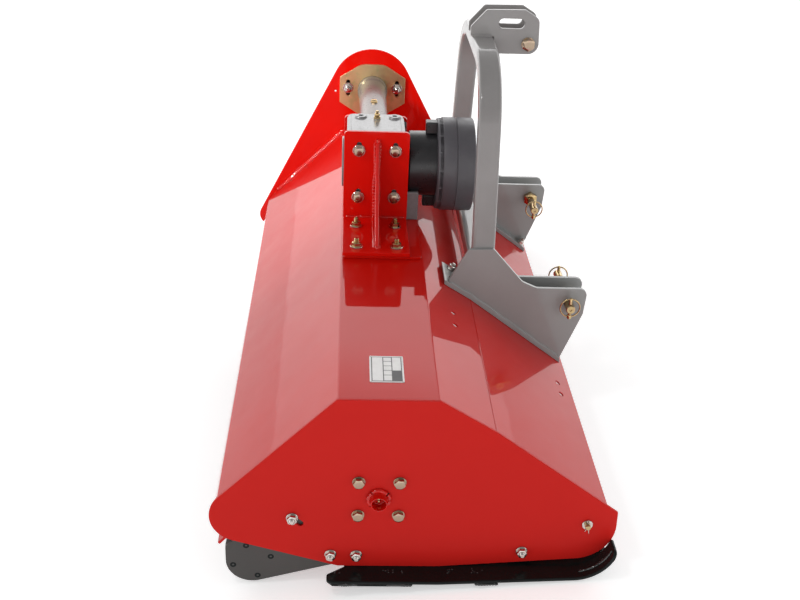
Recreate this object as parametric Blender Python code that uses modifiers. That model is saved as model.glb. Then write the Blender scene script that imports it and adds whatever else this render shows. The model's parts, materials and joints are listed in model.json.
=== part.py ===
"""A flail mulcher for a tractor's three-point linkage, in separate parts.

The machine's own frame has X across the machine with its right-hand side positive, Y forward and Z up.
Its origin lies under the rotor axis, at the level of the skids' wear strips. The machine as a whole then
stands nose-down, on its roller and on the turned-up noses of its skids.
"""

import math

import bmesh
import bpy
from mathutils import Matrix, Vector

# Clearances
GAP = 0.0003
PLAY = 0.0005
MERGE = 0.00001

# Housing: the end plates' faces, their thickness and the hood's sheet
RIGHT_X = 0.800
LEFT_X = -0.800
PLATE = 0.006
SHEET = 0.004
PLATE_PROUD = 0.003
CUTTER_REACH = 0.03

# Side view of the housing, in Y and Z
TOP_Z = 0.4285
TOP_REAR_Y = -0.089
TOP_FRONT_Y = 0.115
CREASE = (0.232, 0.3565)
NOSE_TIP = (0.4995, 0.1605)
NOSE_CORNER = (0.503, 0.045)
NOSE_RADIUS = 0.085
BOTTOM_Z = 0.014
BOTTOM_FRONT_Y = 0.130
BOTTOM_REAR_Y = -0.082
REAR_CORNER = (-0.405, 0.111)
REAR_RADIUS = 0.065
HOOD_LIP = (-0.342, 0.135)
LIP_WIDTH = 0.012
HOOD_FRONT = (0.4775, 0.1723)
EDGE_RADIUS = 0.006

# The left end plate rises to carry the drive
DRIVE_Z = 0.562
DRIVE_TOP_CORNER = (-0.005, DRIVE_Z + 0.273)
DRIVE_TOP_RADIUS = 0.1245
DRIVE_FRONT_FOOT = (0.2636, 0.3333)
LEFT_REAR_CORNER = (-0.378, 0.103)
LEFT_REAR_RADIUS = 0.040
PLATE_HOLE = (-0.116, 0.5545)

# Rotor, hammers and their bearings
ROTOR_Z = 0.1915
ROTOR_TUBE = 0.054
ROTOR_WALL = 0.008
ROTOR_DISC = 0.014
ROTOR_SHAFT = 0.0175
ROTOR_BORE = 0.006
ROTOR_END_GAP = 0.052
ROTOR_LEFT = LEFT_X + ROTOR_END_GAP
ROTOR_RIGHT = RIGHT_X - PLATE - ROTOR_END_GAP
HAMMERS = 12
HAMMER_PITCH = (ROTOR_RIGHT - ROTOR_LEFT - 0.038) / HAMMERS
HAMMER_WIDTH = HAMMER_PITCH - 0.021
HAMMER_SHANK = 0.036
HAMMER_REACH = 0.081
HAMMER_EYE = 0.018
HAMMER_PIN = 0.008
PIN_CIRCLE = 0.084
LUG = 0.008
LUG_ROOT = 0.010
LUG_FOOT_HALF = 0.026
LUG_TIP_HALF = 0.020
HAMMER_WAIST = 0.008
HAMMER_WAIST_START = 0.012
HAMMER_WAIST_END = 0.030
HAMMER_HEAD_TOP = 0.052
HAMMER_HEAD_HALF = 0.015
HAMMER_EDGE = 0.006
LUG_SIDE_PLAY = 0.00075
HAMMER_SWING = math.radians(110)
BEARING_SIDE = 0.115
BEARING_CORNER = 0.020
BEARING_FLANGE = 0.012
BEARING_BOSS = 0.044
BEARING_DEPTH = 0.030
BEARING_BOLT_OFFSET = 0.0417
BEARING_CAP = 0.0215
BEARING_CAP_REACH = 0.022
CAP_RECESS = 0.012
CAP_WALL = 0.008
SHAFT_END_PLAY = 0.003
NIPPLE = 0.0035
NIPPLE_HEX = 0.005
NIPPLE_REACH = 0.010

# Gearbox and drive shafts
GEARBOX_X = -0.157
GEARBOX_HALF = 0.0807
GEARBOX_REAR_Y = -0.078
GEARBOX_FRONT_Y = 0.072
GEARBOX_LOW_Z = DRIVE_Z - 0.084
GEARBOX_HIGH_Z = DRIVE_Z + 0.106
GEARBOX_WALL = 0.013
GEARBOX_FOOT_Y = 0.1115
GEARBOX_FOOT_FALL = 0.035
INPUT_NECK = 0.055
INPUT_NECK_Y = 0.0937
INPUT_SHAFT = 0.0175
INPUT_SHAFT_Y = 0.172
OUTPUT_NECK = 0.040
OUTPUT_NECK_REACH = 0.025
CROSS_SHAFT = 0.015
GEAR_RATIO = 3.0
GEAR_RADIUS = 0.055
GEAR_BACKLASH = 0.001
GEAR_FACE_SHARE = 0.35
GEAR_RIM = 0.010
GEAR_HUB_WALL = 0.004
GEAR_HUB = 0.015
SPLINES = 6
SPLINE_DEPTH_SHARE = 0.16
SPLINE_TIP_SHARE = 0.21
SPLINE_FOOT_SHARE = 0.27
GEARBOX_CORNER = 0.020
GEARBOX_FLOAT = 0.002
REAR_CAP = 0.066
REAR_CAP_THICKNESS = 0.0117
REAR_CAP_EDGE = 0.003
REAR_BORE = 0.057
REAR_SPIGOT = 0.004
TOP_BOSS = 0.013
TOP_BOSSES = ((-0.045, -0.042), (-0.045, 0.047), (0.058, -0.044), (0.058, 0.045))
BREATHER = (-0.032, 0.0)
BREATHER_RADIUS = 0.009
BREATHER_HEIGHT = 0.022

# Gearbox brackets and the raised plate that they stand on
DOUBLER = 0.006
DOUBLER_CORNER = 0.010
DOUBLER_REAR_Y = -0.083
DOUBLER_FRONT_Y = 0.111
BRACKET = 0.010
BRACKET_REAR_Y = -0.085
BRACKET_FRONT_Y = 0.082
BRACKET_TOP_Z = DRIVE_Z + 0.114
LEFT_BRACKET_DROP = 0.016
BRACKET_CORNER = 0.010
FOOT_REACH = 0.230
RIB_TOP_Z = BRACKET_TOP_Z - 0.025
RIB_REACH = 0.205
RIB_CLEAR = 0.004
SIDE_BOLT_Y = 0.0465
SIDE_BOLT_Z = 0.0635
SIDE_SLOT_RISE = 0.016
FOOT_BOLT_Y = 0.0495
FOOT_BOLT_NEAR = 0.069
FOOT_BOLT_FAR = 0.195

# Shaft tube with its flange, belt pulleys and belt cover
TUBE_NARROW = 0.036
TUBE_WIDE = 0.046
TUBE_BORE = 0.028
TUBE_SEAT = 0.020
TUBE_STRAIGHT = 0.030
FLANGE = 0.008
FLANGE_HALF_Y = 0.1025
FLANGE_SIDE_Z = 0.040
FLANGE_TOP_Y = 0.036
FLANGE_TOP_Z = 0.0825
FLANGE_CORNER = 0.030
FLANGE_BOLT_Y = 0.0765
FLANGE_BOLT_Z = 0.007
FLANGE_SLOT = 0.012
UPPER_PULLEY = 0.085
LOWER_PULLEY = 0.0625
PULLEY_RIGHT = LEFT_X - 0.035
GROOVES = 3
GROOVE_PITCH = 0.015
GROOVE_DEPTH = 0.011
GROOVE_TOP = 0.0065
GROOVE_FLOOR = 0.0035
BELT_TOP = 0.0060
BELT_FLOOR = 0.0038
BELT_DEPTH = 0.008
BELT_STANDS = 0.0008
SHAFT_STANDS_OUT = 0.013
COVER_DEPTH = 0.100
COVER_WALL = 0.002
COVER_TOP_RADIUS = 0.104
COVER_LOW_RADIUS = 0.115
COVER_EAR = 0.016
COVER_EAR_THICKNESS = 0.003
COVER_EARS = ((-0.124, 0.360), (0.124, 0.360), (0.0, 0.068))

# Guard round the drive shaft
COLLAR_RADIUS = 0.085
COLLAR_FRONT_Y = 0.162
COLLAR_HOLE = 0.030
DRUM_RADIUS = 0.1225
DRUM_REAR_Y = 0.157
DRUM_FRONT_Y = 0.253
GUARD_WALL = 0.003
GUARD_LIP = 0.010
LATCH_WIDTH = 0.030
LATCH_REAR_Y = 0.127
LATCH_TOP = 0.117

# Rear roller, its arm plates and the scraper
ROLLER_Y = -0.262
ROLLER_Z = 0.021
ROLLER_RADIUS = 0.060
ROLLER_WALL = 0.005
ROLLER_END_GAP = 0.040
ROLLER_HALF = (RIGHT_X - PLATE - LEFT_X) / 2 - ROLLER_END_GAP
ROLLER_STUB = 0.015
ROLLER_STUB_BORE = 0.008
ROLLER_STUB_REACH = 0.024
ROLLER_DISC = 0.008
ARM_END_RADIUS = 0.055
ARM_FALL = math.radians(16.1)
ARM_FRONT_Y = -0.078
ARM_TOP_CORNERS = ((ARM_FRONT_Y, 0.062, 0.012), (-0.150, 0.170, 0.020), (-0.205, 0.170, 0.020))
ARM_REAR_Z = 0.058
ARM_CORNER = 0.010
ARM_BOLTS = ((-0.097, 0.0455), (-0.177, 0.1405))
ARM_SLOT_END = (-0.160, 0.1255)
ROLLER_BEARING_RADIUS = 0.052
ROLLER_BEARING_FLANGE = 0.006
ROLLER_BEARING_BOSS = 0.028
ROLLER_BEARING_DEPTH = 0.012
ROLLER_BOLT_CIRCLE = 0.0413
ROLLER_BOLT_ANGLE = math.radians(16)
ROLLER_BOLT = 0.004
SCRAPER_WIDTH = 0.045
SCRAPER_THICKNESS = 0.006
SCRAPER_Y = -0.315
SCRAPER_Z = 0.083
SCRAPER_LEAN = math.radians(-42)

# Skids
SOLE = 0.008
SOLE_IN = 0.030
SOLE_OUT = 0.050
SOLE_REAR_OUT_Y = -0.105
SOLE_REAR_IN_Y = -0.068
SOLE_RISE = math.radians(2.87)
SOLE_NOSE_Y = 0.408
SOLE_NOSE_RADIUS = 0.094
SOLE_NOSE_TURN = math.radians(76)
SOLE_NOSE_IN_Z = 0.060
SOLE_CORNER = 0.012
SOLE_CUT = 0.050
WEAR_STRIP = 0.0054
WEAR_STRIP_FRONT_Y = 0.075
WEAR_STRIP_INSET = 0.004
WEAR_STRIP_IN = 0.010
WEAR_STRIP_CORNER = 0.015
EAR_REAR = (-0.068, -0.018)
EAR_FRONT = (0.281, 0.331)
SKID_BOLTS = ((-0.043, 0.0445), (0.306, 0.0575))
SKID_EAR_TOP = 0.022
SKID_EAR_CORNER = 0.012

# Front flaps on their rod
FLAPS = 6
FLAP_ROD_Y = 0.438
FLAP_ROD_Z = 0.1295
FLAP_ROD = 0.006
FLAP_ROD_OVERHANG = 0.013
SPLIT_PIN = 0.0015
SPLIT_PIN_DOWN = 0.018
SPLIT_PIN_UP = 0.011
FLAP_EYE = 0.0105
FLAP_THICKNESS = 0.004
FLAP_LENGTH = 0.095
FLAP_END_GAP = 0.033
FLAP_HALF_SPAN = (RIGHT_X - PLATE - LEFT_X) / 2 - FLAP_END_GAP
FLAP_SPACING = 0.003

# Hitch: hoop, top-link plates, lower brackets and their pins
ARCH_Y = 0.255
ARCH_DEPTH = 0.054
ARCH_BAR = 0.038
ARCH_TOP_Z = 0.9125
ARCH_BEND = 0.190
ARCH_FLAT = 0.120
ARCH_LEAN = math.radians(13)
ARCH_EDGE = 0.008
LINK_HALF_SPAN = 0.3415
CLEVIS_HALF = 0.0359
CLEVIS_PLATE = 0.010
CLEVIS_REAR_Y = 0.176
CLEVIS_REAR_RISE = 0.012
CLEVIS_TOP = ((0.219, 0.4870, 0.004), (0.279, 0.4885, 0.006), (0.355, 0.4030, 0.020), (0.392, 0.3865, 0.030))
CLEVIS_NOSE = ((0.518, 0.3865, 0.018), (0.513, 0.3180, 0.020))
CLEVIS_FRONT_Y = 0.466
TOP_LINK_HALF = 0.0305
TOP_LINK_PLATE = 0.008
TOP_LINK_REAR = ((-0.031, 0.024, 0.006), (0.006, 0.066, 0.010), (0.102, 0.068, 0))
TOP_LINK_FRONT = ((0.139, 0.046, 0.020), (0.143, -0.042, 0.026))
TOP_LINK_LOW = -0.043
TOP_LINK_BOLT = (ARCH_Y + 0.115, ARCH_TOP_Z - 0.0165)
TOP_LINK_SLOT = ((ARCH_Y + 0.0505, ARCH_TOP_Z + 0.033), (ARCH_Y + 0.0905, ARCH_TOP_Z + 0.033))
TOP_LINK_RADIUS = 0.0125
TOP_BOLT_RADIUS = 0.009
TOP_BOLT_FLATS = 0.030
LINK_PIN_Y = 0.4745
LINK_PIN_Z = 0.345
LINK_PIN = 0.011
LINK_PIN_OUT = 0.032
LINK_PIN_IN = 0.100
LINK_COLLAR = 0.021
LINK_COLLAR_WIDTH = 0.016
BASE_FLANGE = 0.010
BASE_REAR_Y = 0.164
BASE_FRONT_Y = 0.468
BASE_INWARD = 0.028
BASE_OUTWARD = 0.004
BASE_BOLTS = ((-0.047, 0.180), (0.012, 0.180), (-0.051, 0.4485), (0.0, 0.4485))
LINCH_RADIUS = 0.004
LINCH_RING = 0.024
LINCH_WIRE = 0.0018
LINCH_DOWN = 0.027
LINCH_HEAD = 0.006
LINCH_INSET = 0.012
CROSS_TUBE = 0.045
CROSS_TUBE_WALL = 0.005
CROSS_TUBE_CORNER = 0.006
CROSS_TUBE_Z = 0.3985

# Spare hitch holes beside the right lower bracket: X and Y
SPARE_HOLES = ((0.354, 0.176), (0.413, 0.176), (0.350, 0.442), (0.401, 0.442))
SPARE_HOLE = 0.007

# Fasteners: shank radius and width across flats
M8 = (0.004, 0.013)
M10 = (0.005, 0.017)
M12 = (0.006, 0.019)
M16 = (0.008, 0.024)
WASHER = 0.0145
WASHER_THICKNESS = 0.0025
HEAD_HEIGHT = 1.3

# Sides of round outlines
FINE = 20
MEDIUM = 16
SMALL = 12
COARSE = 8

# Values that follow from the ones above
PLATE_INNER_X = RIGHT_X - PLATE
LEFT_OUTER_X = LEFT_X - PLATE
HOOD_TOP_Z = TOP_Z - PLATE_PROUD
DOUBLER_LOW_Z = HOOD_TOP_Z + GAP
FOOT_LOW_Z = DOUBLER_LOW_Z + DOUBLER + GAP
FOOT_TOP_Z = FOOT_LOW_Z + BRACKET
DOUBLER_HALF_X = GEARBOX_HALF + GAP + FOOT_REACH
SOLE_TOP_Z = BOTTOM_Z - GAP
SOLE_LOW_Z = SOLE_TOP_Z - SOLE
NOSE_CENTRE_Z = (SOLE_LOW_Z + (SOLE_NOSE_Y - BOTTOM_FRONT_Y) * math.tan(SOLE_RISE) + SOLE_NOSE_RADIUS)
TUBE_END_X = LEFT_X + GAP
TUBE_START_X = GEARBOX_X - GEARBOX_HALF - OUTPUT_NECK_REACH - GAP
PULLEY_WIDTH = GROOVES * GROOVE_PITCH
SHAFT_END_X = PULLEY_RIGHT - PULLEY_WIDTH - SHAFT_STANDS_OUT
ROLLER_SPAN = ROLLER_HALF + ROLLER_STUB_REACH
ARM_X = PLATE_INNER_X - GAP - PLATE / 2

SIDE_VIEW = Matrix(((0, 0, 1, 0), (1, 0, 0, 0), (0, 1, 0, 0), (0, 0, 0, 1)))
ALONG_X = Matrix.Rotation(math.pi / 2, 4, 'Y')
ALONG_Y = Matrix.Rotation(-math.pi / 2, 4, 'X')


# Scene and collections

def clear_scene():
    for obj in list(bpy.data.objects):
        bpy.data.objects.remove(obj)


def new_collection(name):
    collection = bpy.data.collections.new(name)
    bpy.context.scene.collection.children.link(collection)
    return collection


def new_empty(name, location, parent=None):
    empty = bpy.data.objects.new(name, None)
    empty.location = location
    empty.parent = parent
    PARTS.objects.link(empty)
    return empty


def material(name, color, roughness, metallic):
    mat = bpy.data.materials.new(name)
    mat.use_nodes = True
    shader = mat.node_tree.nodes["Principled BSDF"]
    shader.inputs["Base Color"].default_value = (*color, 1.0)
    shader.inputs["Roughness"].default_value = roughness
    shader.inputs["Metallic"].default_value = metallic
    return mat


def put(name, mesh, finish, location=(0, 0, 0), parent=None):
    """Add a part to the machine, smooth on its round faces and sharp on its edges."""
    mesh.materials.clear()
    mesh.materials.append(finish)
    mesh.shade_smooth()
    mesh.set_sharp_from_angle(angle=math.radians(32))
    obj = bpy.data.objects.new(name, mesh)
    obj.location = location
    obj.parent = parent or MACHINE
    PARTS.objects.link(obj)
    return obj


def drill(obj, tool, name):
    """Cut the tool's bodies out of a part that keeps its modifiers."""
    cutter = bpy.data.objects.new(name, tool)
    cutter.location = obj.location
    cutter.parent = obj.parent
    cutter.hide_render = True
    cutter.display_type = 'WIRE'
    CUTTERS.objects.link(cutter)
    cut = obj.modifiers.new(name, 'BOOLEAN')
    cut.operation = 'DIFFERENCE'
    cut.object = cutter


# Mesh tools

def temporary(data):
    obj = bpy.data.objects.new("temporary", data)
    bpy.context.scene.collection.objects.link(obj)
    return obj


def baked(obj):
    """Evaluated mesh of a temporary object, welded, with its faces pointing out."""
    bpy.context.view_layer.update()
    depsgraph = bpy.context.evaluated_depsgraph_get()
    mesh = bpy.data.meshes.new_from_object(obj.evaluated_get(depsgraph))
    bpy.data.objects.remove(obj)
    shape = bmesh.new()
    shape.from_mesh(mesh)
    bmesh.ops.remove_doubles(shape, verts=shape.verts, dist=MERGE)
    bmesh.ops.recalc_face_normals(shape, faces=shape.faces)
    shape.to_mesh(mesh)
    shape.free()
    return mesh


def moved(mesh, x=0.0, y=0.0, z=0.0, turn=None):
    """Copy of a mesh, turned and then moved."""
    copy = mesh.copy()
    copy.transform(Matrix.Translation((x, y, z)) @ (turn or Matrix()))
    return copy


def joined(*meshes):
    """One mesh of several bodies that stay separate."""
    shape = bmesh.new()
    for mesh in meshes:
        shape.from_mesh(mesh)
    result = bpy.data.meshes.new("joined")
    shape.to_mesh(result)
    shape.free()
    return result


def combined(operation, base, tools):
    body = temporary(base)
    helpers = [temporary(tool) for tool in tools]
    for helper in helpers:
        change = body.modifiers.new(operation, 'BOOLEAN')
        change.operation = operation
        change.object = helper
    result = baked(body)
    for helper in helpers:
        bpy.data.objects.remove(helper)
    return result


def union(base, *tools):
    return combined('UNION', base, tools)


def cut(base, *tools):
    return combined('DIFFERENCE', base, tools)


def box(low, high):
    shape = bmesh.new()
    size = [b - a for a, b in zip(low, high)]
    centre = [(a + b) / 2 for a, b in zip(low, high)]
    place = Matrix.Translation(centre) @ Matrix.Diagonal((*size, 1))
    bmesh.ops.create_cube(shape, size=1, matrix=place)
    mesh = bpy.data.meshes.new("box")
    shape.to_mesh(mesh)
    shape.free()
    return mesh


def prism(radius, length, sides, end_radius=None):
    """Round or many-sided bar along Z, centred."""
    shape = bmesh.new()
    end = radius if end_radius is None else end_radius
    bmesh.ops.create_cone(shape, cap_ends=True, segments=sides, radius1=radius, radius2=end, depth=length)
    mesh = bpy.data.meshes.new("prism")
    shape.to_mesh(mesh)
    shape.free()
    return mesh


def rod(radius, start, end, sides=SMALL, axis=ALONG_X):
    """Round bar along X, or along another axis, from one position to another on it."""
    bar = prism(radius, end - start, sides)
    bar.transform(axis @ Matrix.Translation((0, 0, (start + end) / 2)))
    return bar


def turned(profile, steps, axis=ALONG_X, closed=False):
    """Turned shape from a profile of (radius, height), run down its outer side."""
    mesh = bpy.data.meshes.new("profile")
    edges = [(i, i + 1) for i in range(len(profile) - 1)]
    if closed:
        edges.append((len(profile) - 1, 0))
    mesh.from_pydata([(radius, 0, height) for radius, height in profile], edges, [])
    obj = temporary(mesh)
    screw = obj.modifiers.new("turn", 'SCREW')
    screw.steps = steps
    screw.render_steps = steps
    screw.use_merge_vertices = True
    screw.merge_threshold = MERGE
    result = baked(obj)
    result.transform(axis)
    return result


def flat_solid(outline, thickness, holes=()):
    """Flat outline with holes, as a solid centred on its own plane."""
    curve = bpy.data.curves.new("outline", 'CURVE')
    curve.dimensions = '2D'
    curve.fill_mode = 'BOTH'
    curve.extrude = thickness / 2
    for ring in (outline, *holes):
        spline = curve.splines.new('POLY')
        spline.points.add(len(ring) - 1)
        for point, place in zip(spline.points, ring):
            point.co = (place[0], place[1], 0, 1)
        spline.use_cyclic_u = True
    return baked(temporary(curve))


def side_plate(outline, thickness, holes=(), x=0.0):
    """Plate square to X, from an outline in Y and Z."""
    plate = flat_solid(outline, thickness, holes)
    plate.transform(Matrix.Translation((x, 0, 0)) @ SIDE_VIEW)
    return plate


# Outlines

def circle(centre, radius, sides=COARSE):
    angles = [2 * math.pi * i / sides for i in range(sides)]
    return [(centre[0] + radius * math.cos(a), centre[1] + radius * math.sin(a)) for a in angles]


def slot(first, second, radius, steps=4):
    """Slot with round ends about two centres."""
    along = math.atan2(second[1] - first[1], second[0] - first[0])
    points = []
    for centre, start in ((second, along - math.pi / 2), (first, along + math.pi / 2)):
        for i in range(steps + 1):
            angle = start + math.pi * i / steps
            points.append((centre[0] + radius * math.cos(angle), centre[1] + radius * math.sin(angle)))
    return points


def rounded(corners, step=math.radians(22)):
    """Outline through (y, z, radius) corners, with an arc at each rounded one."""
    points = []
    count = len(corners)
    for index, (y, z, radius) in enumerate(corners):
        here = Vector((y, z))
        if radius == 0:
            points.append((y, z))
            continue
        before = (Vector(corners[index - 1][:2]) - here).normalized()
        after = (Vector(corners[(index + 1) % count][:2]) - here).normalized()
        half = before.angle(after) / 2
        reach = radius / math.tan(half)
        centre = here + (before + after).normalized() * (radius / math.sin(half))
        start = here + before * reach - centre
        end = here + after * reach - centre
        first = math.atan2(start.y, start.x)
        sweep = math.atan2(end.y, end.x) - first
        sweep = (sweep + math.pi) % (2 * math.pi) - math.pi
        steps = max(1, math.ceil(abs(sweep) / step))
        for i in range(steps + 1):
            angle = first + sweep * i / steps
            points.append((centre.x + radius * math.cos(angle), centre.y + radius * math.sin(angle)))
    return points


def hull_of_circles(low, low_radius, high, high_radius, step=math.radians(20)):
    """Belt-shaped outline round a low and a high circle on one upright line."""
    distance = high[1] - low[1]
    lean = math.asin((low_radius - high_radius) / distance)
    points = []
    for centre, radius, start, sweep in ((high, high_radius, lean, math.pi - 2 * lean),
                                         (low, low_radius, math.pi - lean, math.pi + 2 * lean)):
        steps = math.ceil(sweep / step)
        for i in range(steps + 1):
            angle = start + sweep * i / steps
            points.append((centre[0] + radius * math.cos(angle), centre[1] + radius * math.sin(angle)))
    return points


def turned_point(centre, distance, angle):
    return (centre[0] + distance * math.cos(angle), centre[1] + distance * math.sin(angle))


# Fasteners

def bolt(size, grip, washer=False, nut=False, sink=0.0):
    """Bolt along X with its seat at X = 0, its head outward and its shank inward.

    The head is sunk a little where it is one with its seat, and so is the nut.
    """
    radius, flats = size
    head = flats / math.sqrt(3)
    height = HEAD_HEIGHT * radius
    seat = WASHER_THICKNESS if washer else -sink
    pieces = [rod(radius, -grip - (1.5 * height if nut else 0.0), seat + height / 2, 6),
              rod(head, seat, seat + height, 6)]
    if washer:
        pieces.append(rod(WASHER, 0, seat + GAP, SMALL))
    if nut:
        pieces.append(rod(head, -grip - height, -grip + GAP, 6))
    return union(*pieces)


def facing_left():
    """Turn that points a fastener's head to the left."""
    return Matrix.Rotation(math.pi, 4, 'Z')


def hole_for(size):
    return size[0] + PLAY


# Housing

def right_outline():
    return rounded([(*REAR_CORNER, REAR_RADIUS),
                    (TOP_REAR_Y, TOP_Z, EDGE_RADIUS),
                    (TOP_FRONT_Y, TOP_Z, EDGE_RADIUS),
                    (*CREASE, 0),
                    (*NOSE_TIP, 0),
                    (*NOSE_CORNER, NOSE_RADIUS),
                    (BOTTOM_FRONT_Y, BOTTOM_Z, 0),
                    (BOTTOM_REAR_Y, BOTTOM_Z, 0)])


def left_outline():
    return rounded([(*LEFT_REAR_CORNER, LEFT_REAR_RADIUS),
                    (*DRIVE_TOP_CORNER, DRIVE_TOP_RADIUS),
                    (*DRIVE_FRONT_FOOT, 0),
                    (*NOSE_TIP, 0),
                    (*NOSE_CORNER, NOSE_RADIUS),
                    (BOTTOM_FRONT_Y, BOTTOM_Z, 0),
                    (BOTTOM_REAR_Y, BOTTOM_Z, 0)])


def bearing_bolts():
    offset = BEARING_BOLT_OFFSET
    return [(y, ROTOR_Z + z) for y in (-offset, offset) for z in (-offset, offset)]


def shared_holes():
    """Holes that both end plates have."""
    holes = [circle((0, ROTOR_Z), BEARING_CAP + PLAY, MEDIUM)]
    holes += [circle(place, hole_for(M12)) for place in bearing_bolts()]
    holes += [circle(place, hole_for(M12)) for place in SKID_BOLTS]
    holes.append(circle(ARM_BOLTS[0], hole_for(M12)))
    holes.append(slot(ARM_BOLTS[1], ARM_SLOT_END, hole_for(M12)))
    holes.append(circle((FLAP_ROD_Y, FLAP_ROD_Z), FLAP_ROD + PLAY, SMALL))
    return holes


def make_end_plates():
    right = side_plate(right_outline(), PLATE, shared_holes())
    put("end_plate_right", right, RED, (RIGHT_X - PLATE / 2, 0, 0))
    holes = shared_holes()
    holes.append(circle((0, DRIVE_Z), TUBE_BORE + PLAY, MEDIUM))
    holes += [circle(place, hole_for(M12)) for place in flange_bolts()]
    holes += [circle(place, hole_for(M10)) for place in (*COVER_EARS, PLATE_HOLE)]
    left = side_plate(left_outline(), PLATE, holes)
    put("end_plate_left", left, RED, (LEFT_X - PLATE / 2, 0, 0))


def slope_height(y):
    """Height of the hood's outer face at a place on its top or front slope."""
    crease = (CREASE[0] - PLATE_PROUD / 2, CREASE[1] - PLATE_PROUD)
    start = (TOP_FRONT_Y - PLATE_PROUD / 2, HOOD_TOP_Z)
    first, second = (start, crease) if y < crease[0] else (crease, HOOD_FRONT)
    share = (y - first[0]) / (second[0] - first[0])
    return first[1] + share * (second[1] - first[1])


def slope_angle():
    """Fall of the lower front slope."""
    return math.atan2(CREASE[1] - PLATE_PROUD - HOOD_FRONT[1], HOOD_FRONT[0] - CREASE[0] + PLATE_PROUD / 2)


def upper_slope_angle():
    return math.atan2(HOOD_TOP_Z - slope_height(CREASE[0] - PLATE_PROUD / 2),
                      CREASE[0] - TOP_FRONT_Y)


def lean_at(y):
    """Fall of the hood's front slope at a place on it."""
    return slope_angle() if y > CREASE[0] else upper_slope_angle()


def hood_section():
    """Outer face of the hood from its rear lip to its front edge."""
    inset = PLATE_PROUD / 2
    fall = (TOP_Z - REAR_CORNER[1]) / (TOP_REAR_Y - REAR_CORNER[0])
    bend_y = HOOD_LIP[0] + LIP_WIDTH
    bend_z = REAR_CORNER[1] + (bend_y - REAR_CORNER[0]) * fall - PLATE_PROUD
    return [HOOD_LIP,
            (bend_y, bend_z),
            (TOP_REAR_Y + inset, HOOD_TOP_Z),
            (TOP_FRONT_Y - inset, HOOD_TOP_Z),
            (CREASE[0] - inset, CREASE[1] - PLATE_PROUD),
            HOOD_FRONT]


def make_hood():
    ends = (LEFT_X + GAP, PLATE_INNER_X - GAP)
    section = hood_section()
    points = [(x, y, z) for x in ends for y, z in section]
    count = len(section)
    faces = [(i, i + 1, count + i + 1, count + i) for i in range(count - 1)]
    mesh = bpy.data.meshes.new("hood")
    mesh.from_pydata(points, [], faces)
    hood = put("hood_shell", mesh, RED)
    shell = hood.modifiers.new("sheet", 'SOLIDIFY')
    shell.thickness = SHEET
    shell.offset = 1
    shell.use_even_offset = True
    reach = CUTTER_REACH
    pin = rod(hole_for(M12), -reach, reach, COARSE, Matrix())
    tools = [moved(pin, x, y, HOOD_TOP_Z) for x, y in foot_bolts()]
    tools += [moved(pin, x, y, slope_height(y), Matrix.Rotation(-lean_at(y), 4, 'X'))
              for x, y in base_bolts()]
    spare = rod(SPARE_HOLE, -reach, reach, COARSE, Matrix())
    tools += [moved(spare, x, y, slope_height(y), Matrix.Rotation(-lean_at(y), 4, 'X'))
              for x, y in SPARE_HOLES]
    drill(hood, joined(*tools), "hood_holes")


def make_scraper():
    bar = box((LEFT_X + GAP, -SCRAPER_THICKNESS / 2, -SCRAPER_WIDTH / 2),
              (PLATE_INNER_X - GAP, SCRAPER_THICKNESS / 2, SCRAPER_WIDTH / 2))
    bar.transform(Matrix.Rotation(SCRAPER_LEAN, 4, 'X'))
    put("scraper_bar", bar, RED, (0, SCRAPER_Y, SCRAPER_Z))


def make_doubler():
    corner = DOUBLER_CORNER
    outline = rounded([(-DOUBLER_HALF_X, DOUBLER_REAR_Y, corner), (DOUBLER_HALF_X, DOUBLER_REAR_Y, corner),
                       (DOUBLER_HALF_X, DOUBLER_FRONT_Y, corner), (-DOUBLER_HALF_X, DOUBLER_FRONT_Y, corner)],
                      math.radians(45))
    holes = [circle((x - GEARBOX_X, y), hole_for(M12)) for x, y in foot_bolts()]
    plate = flat_solid(outline, DOUBLER, holes)
    put("hood_doubler", plate, RED, (GEARBOX_X, 0, DOUBLER_LOW_Z + DOUBLER / 2))


# Rotor

def hammer_places():
    """X position of each hammer and the angle of its lugs from straight down."""
    middle = (ROTOR_LEFT + ROTOR_RIGHT) / 2
    places = []
    for index in range(HAMMERS):
        x = middle + (index - (HAMMERS - 1) / 2) * HAMMER_PITCH
        angle = math.radians(45 + 90 * (index % 4))
        places.append((x, (angle + math.pi) % (2 * math.pi) - math.pi))
    return places


def lug_outline():
    top = PIN_CIRCLE + HAMMER_EYE
    base = ROTOR_TUBE - LUG_ROOT
    tip = HAMMER_EYE - MERGE
    return rounded([(-LUG_FOOT_HALF, -base, 0), (-LUG_TIP_HALF, -top, tip),
                    (LUG_TIP_HALF, -top, tip), (LUG_FOOT_HALF, -base, 0)], math.radians(100))


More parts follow.
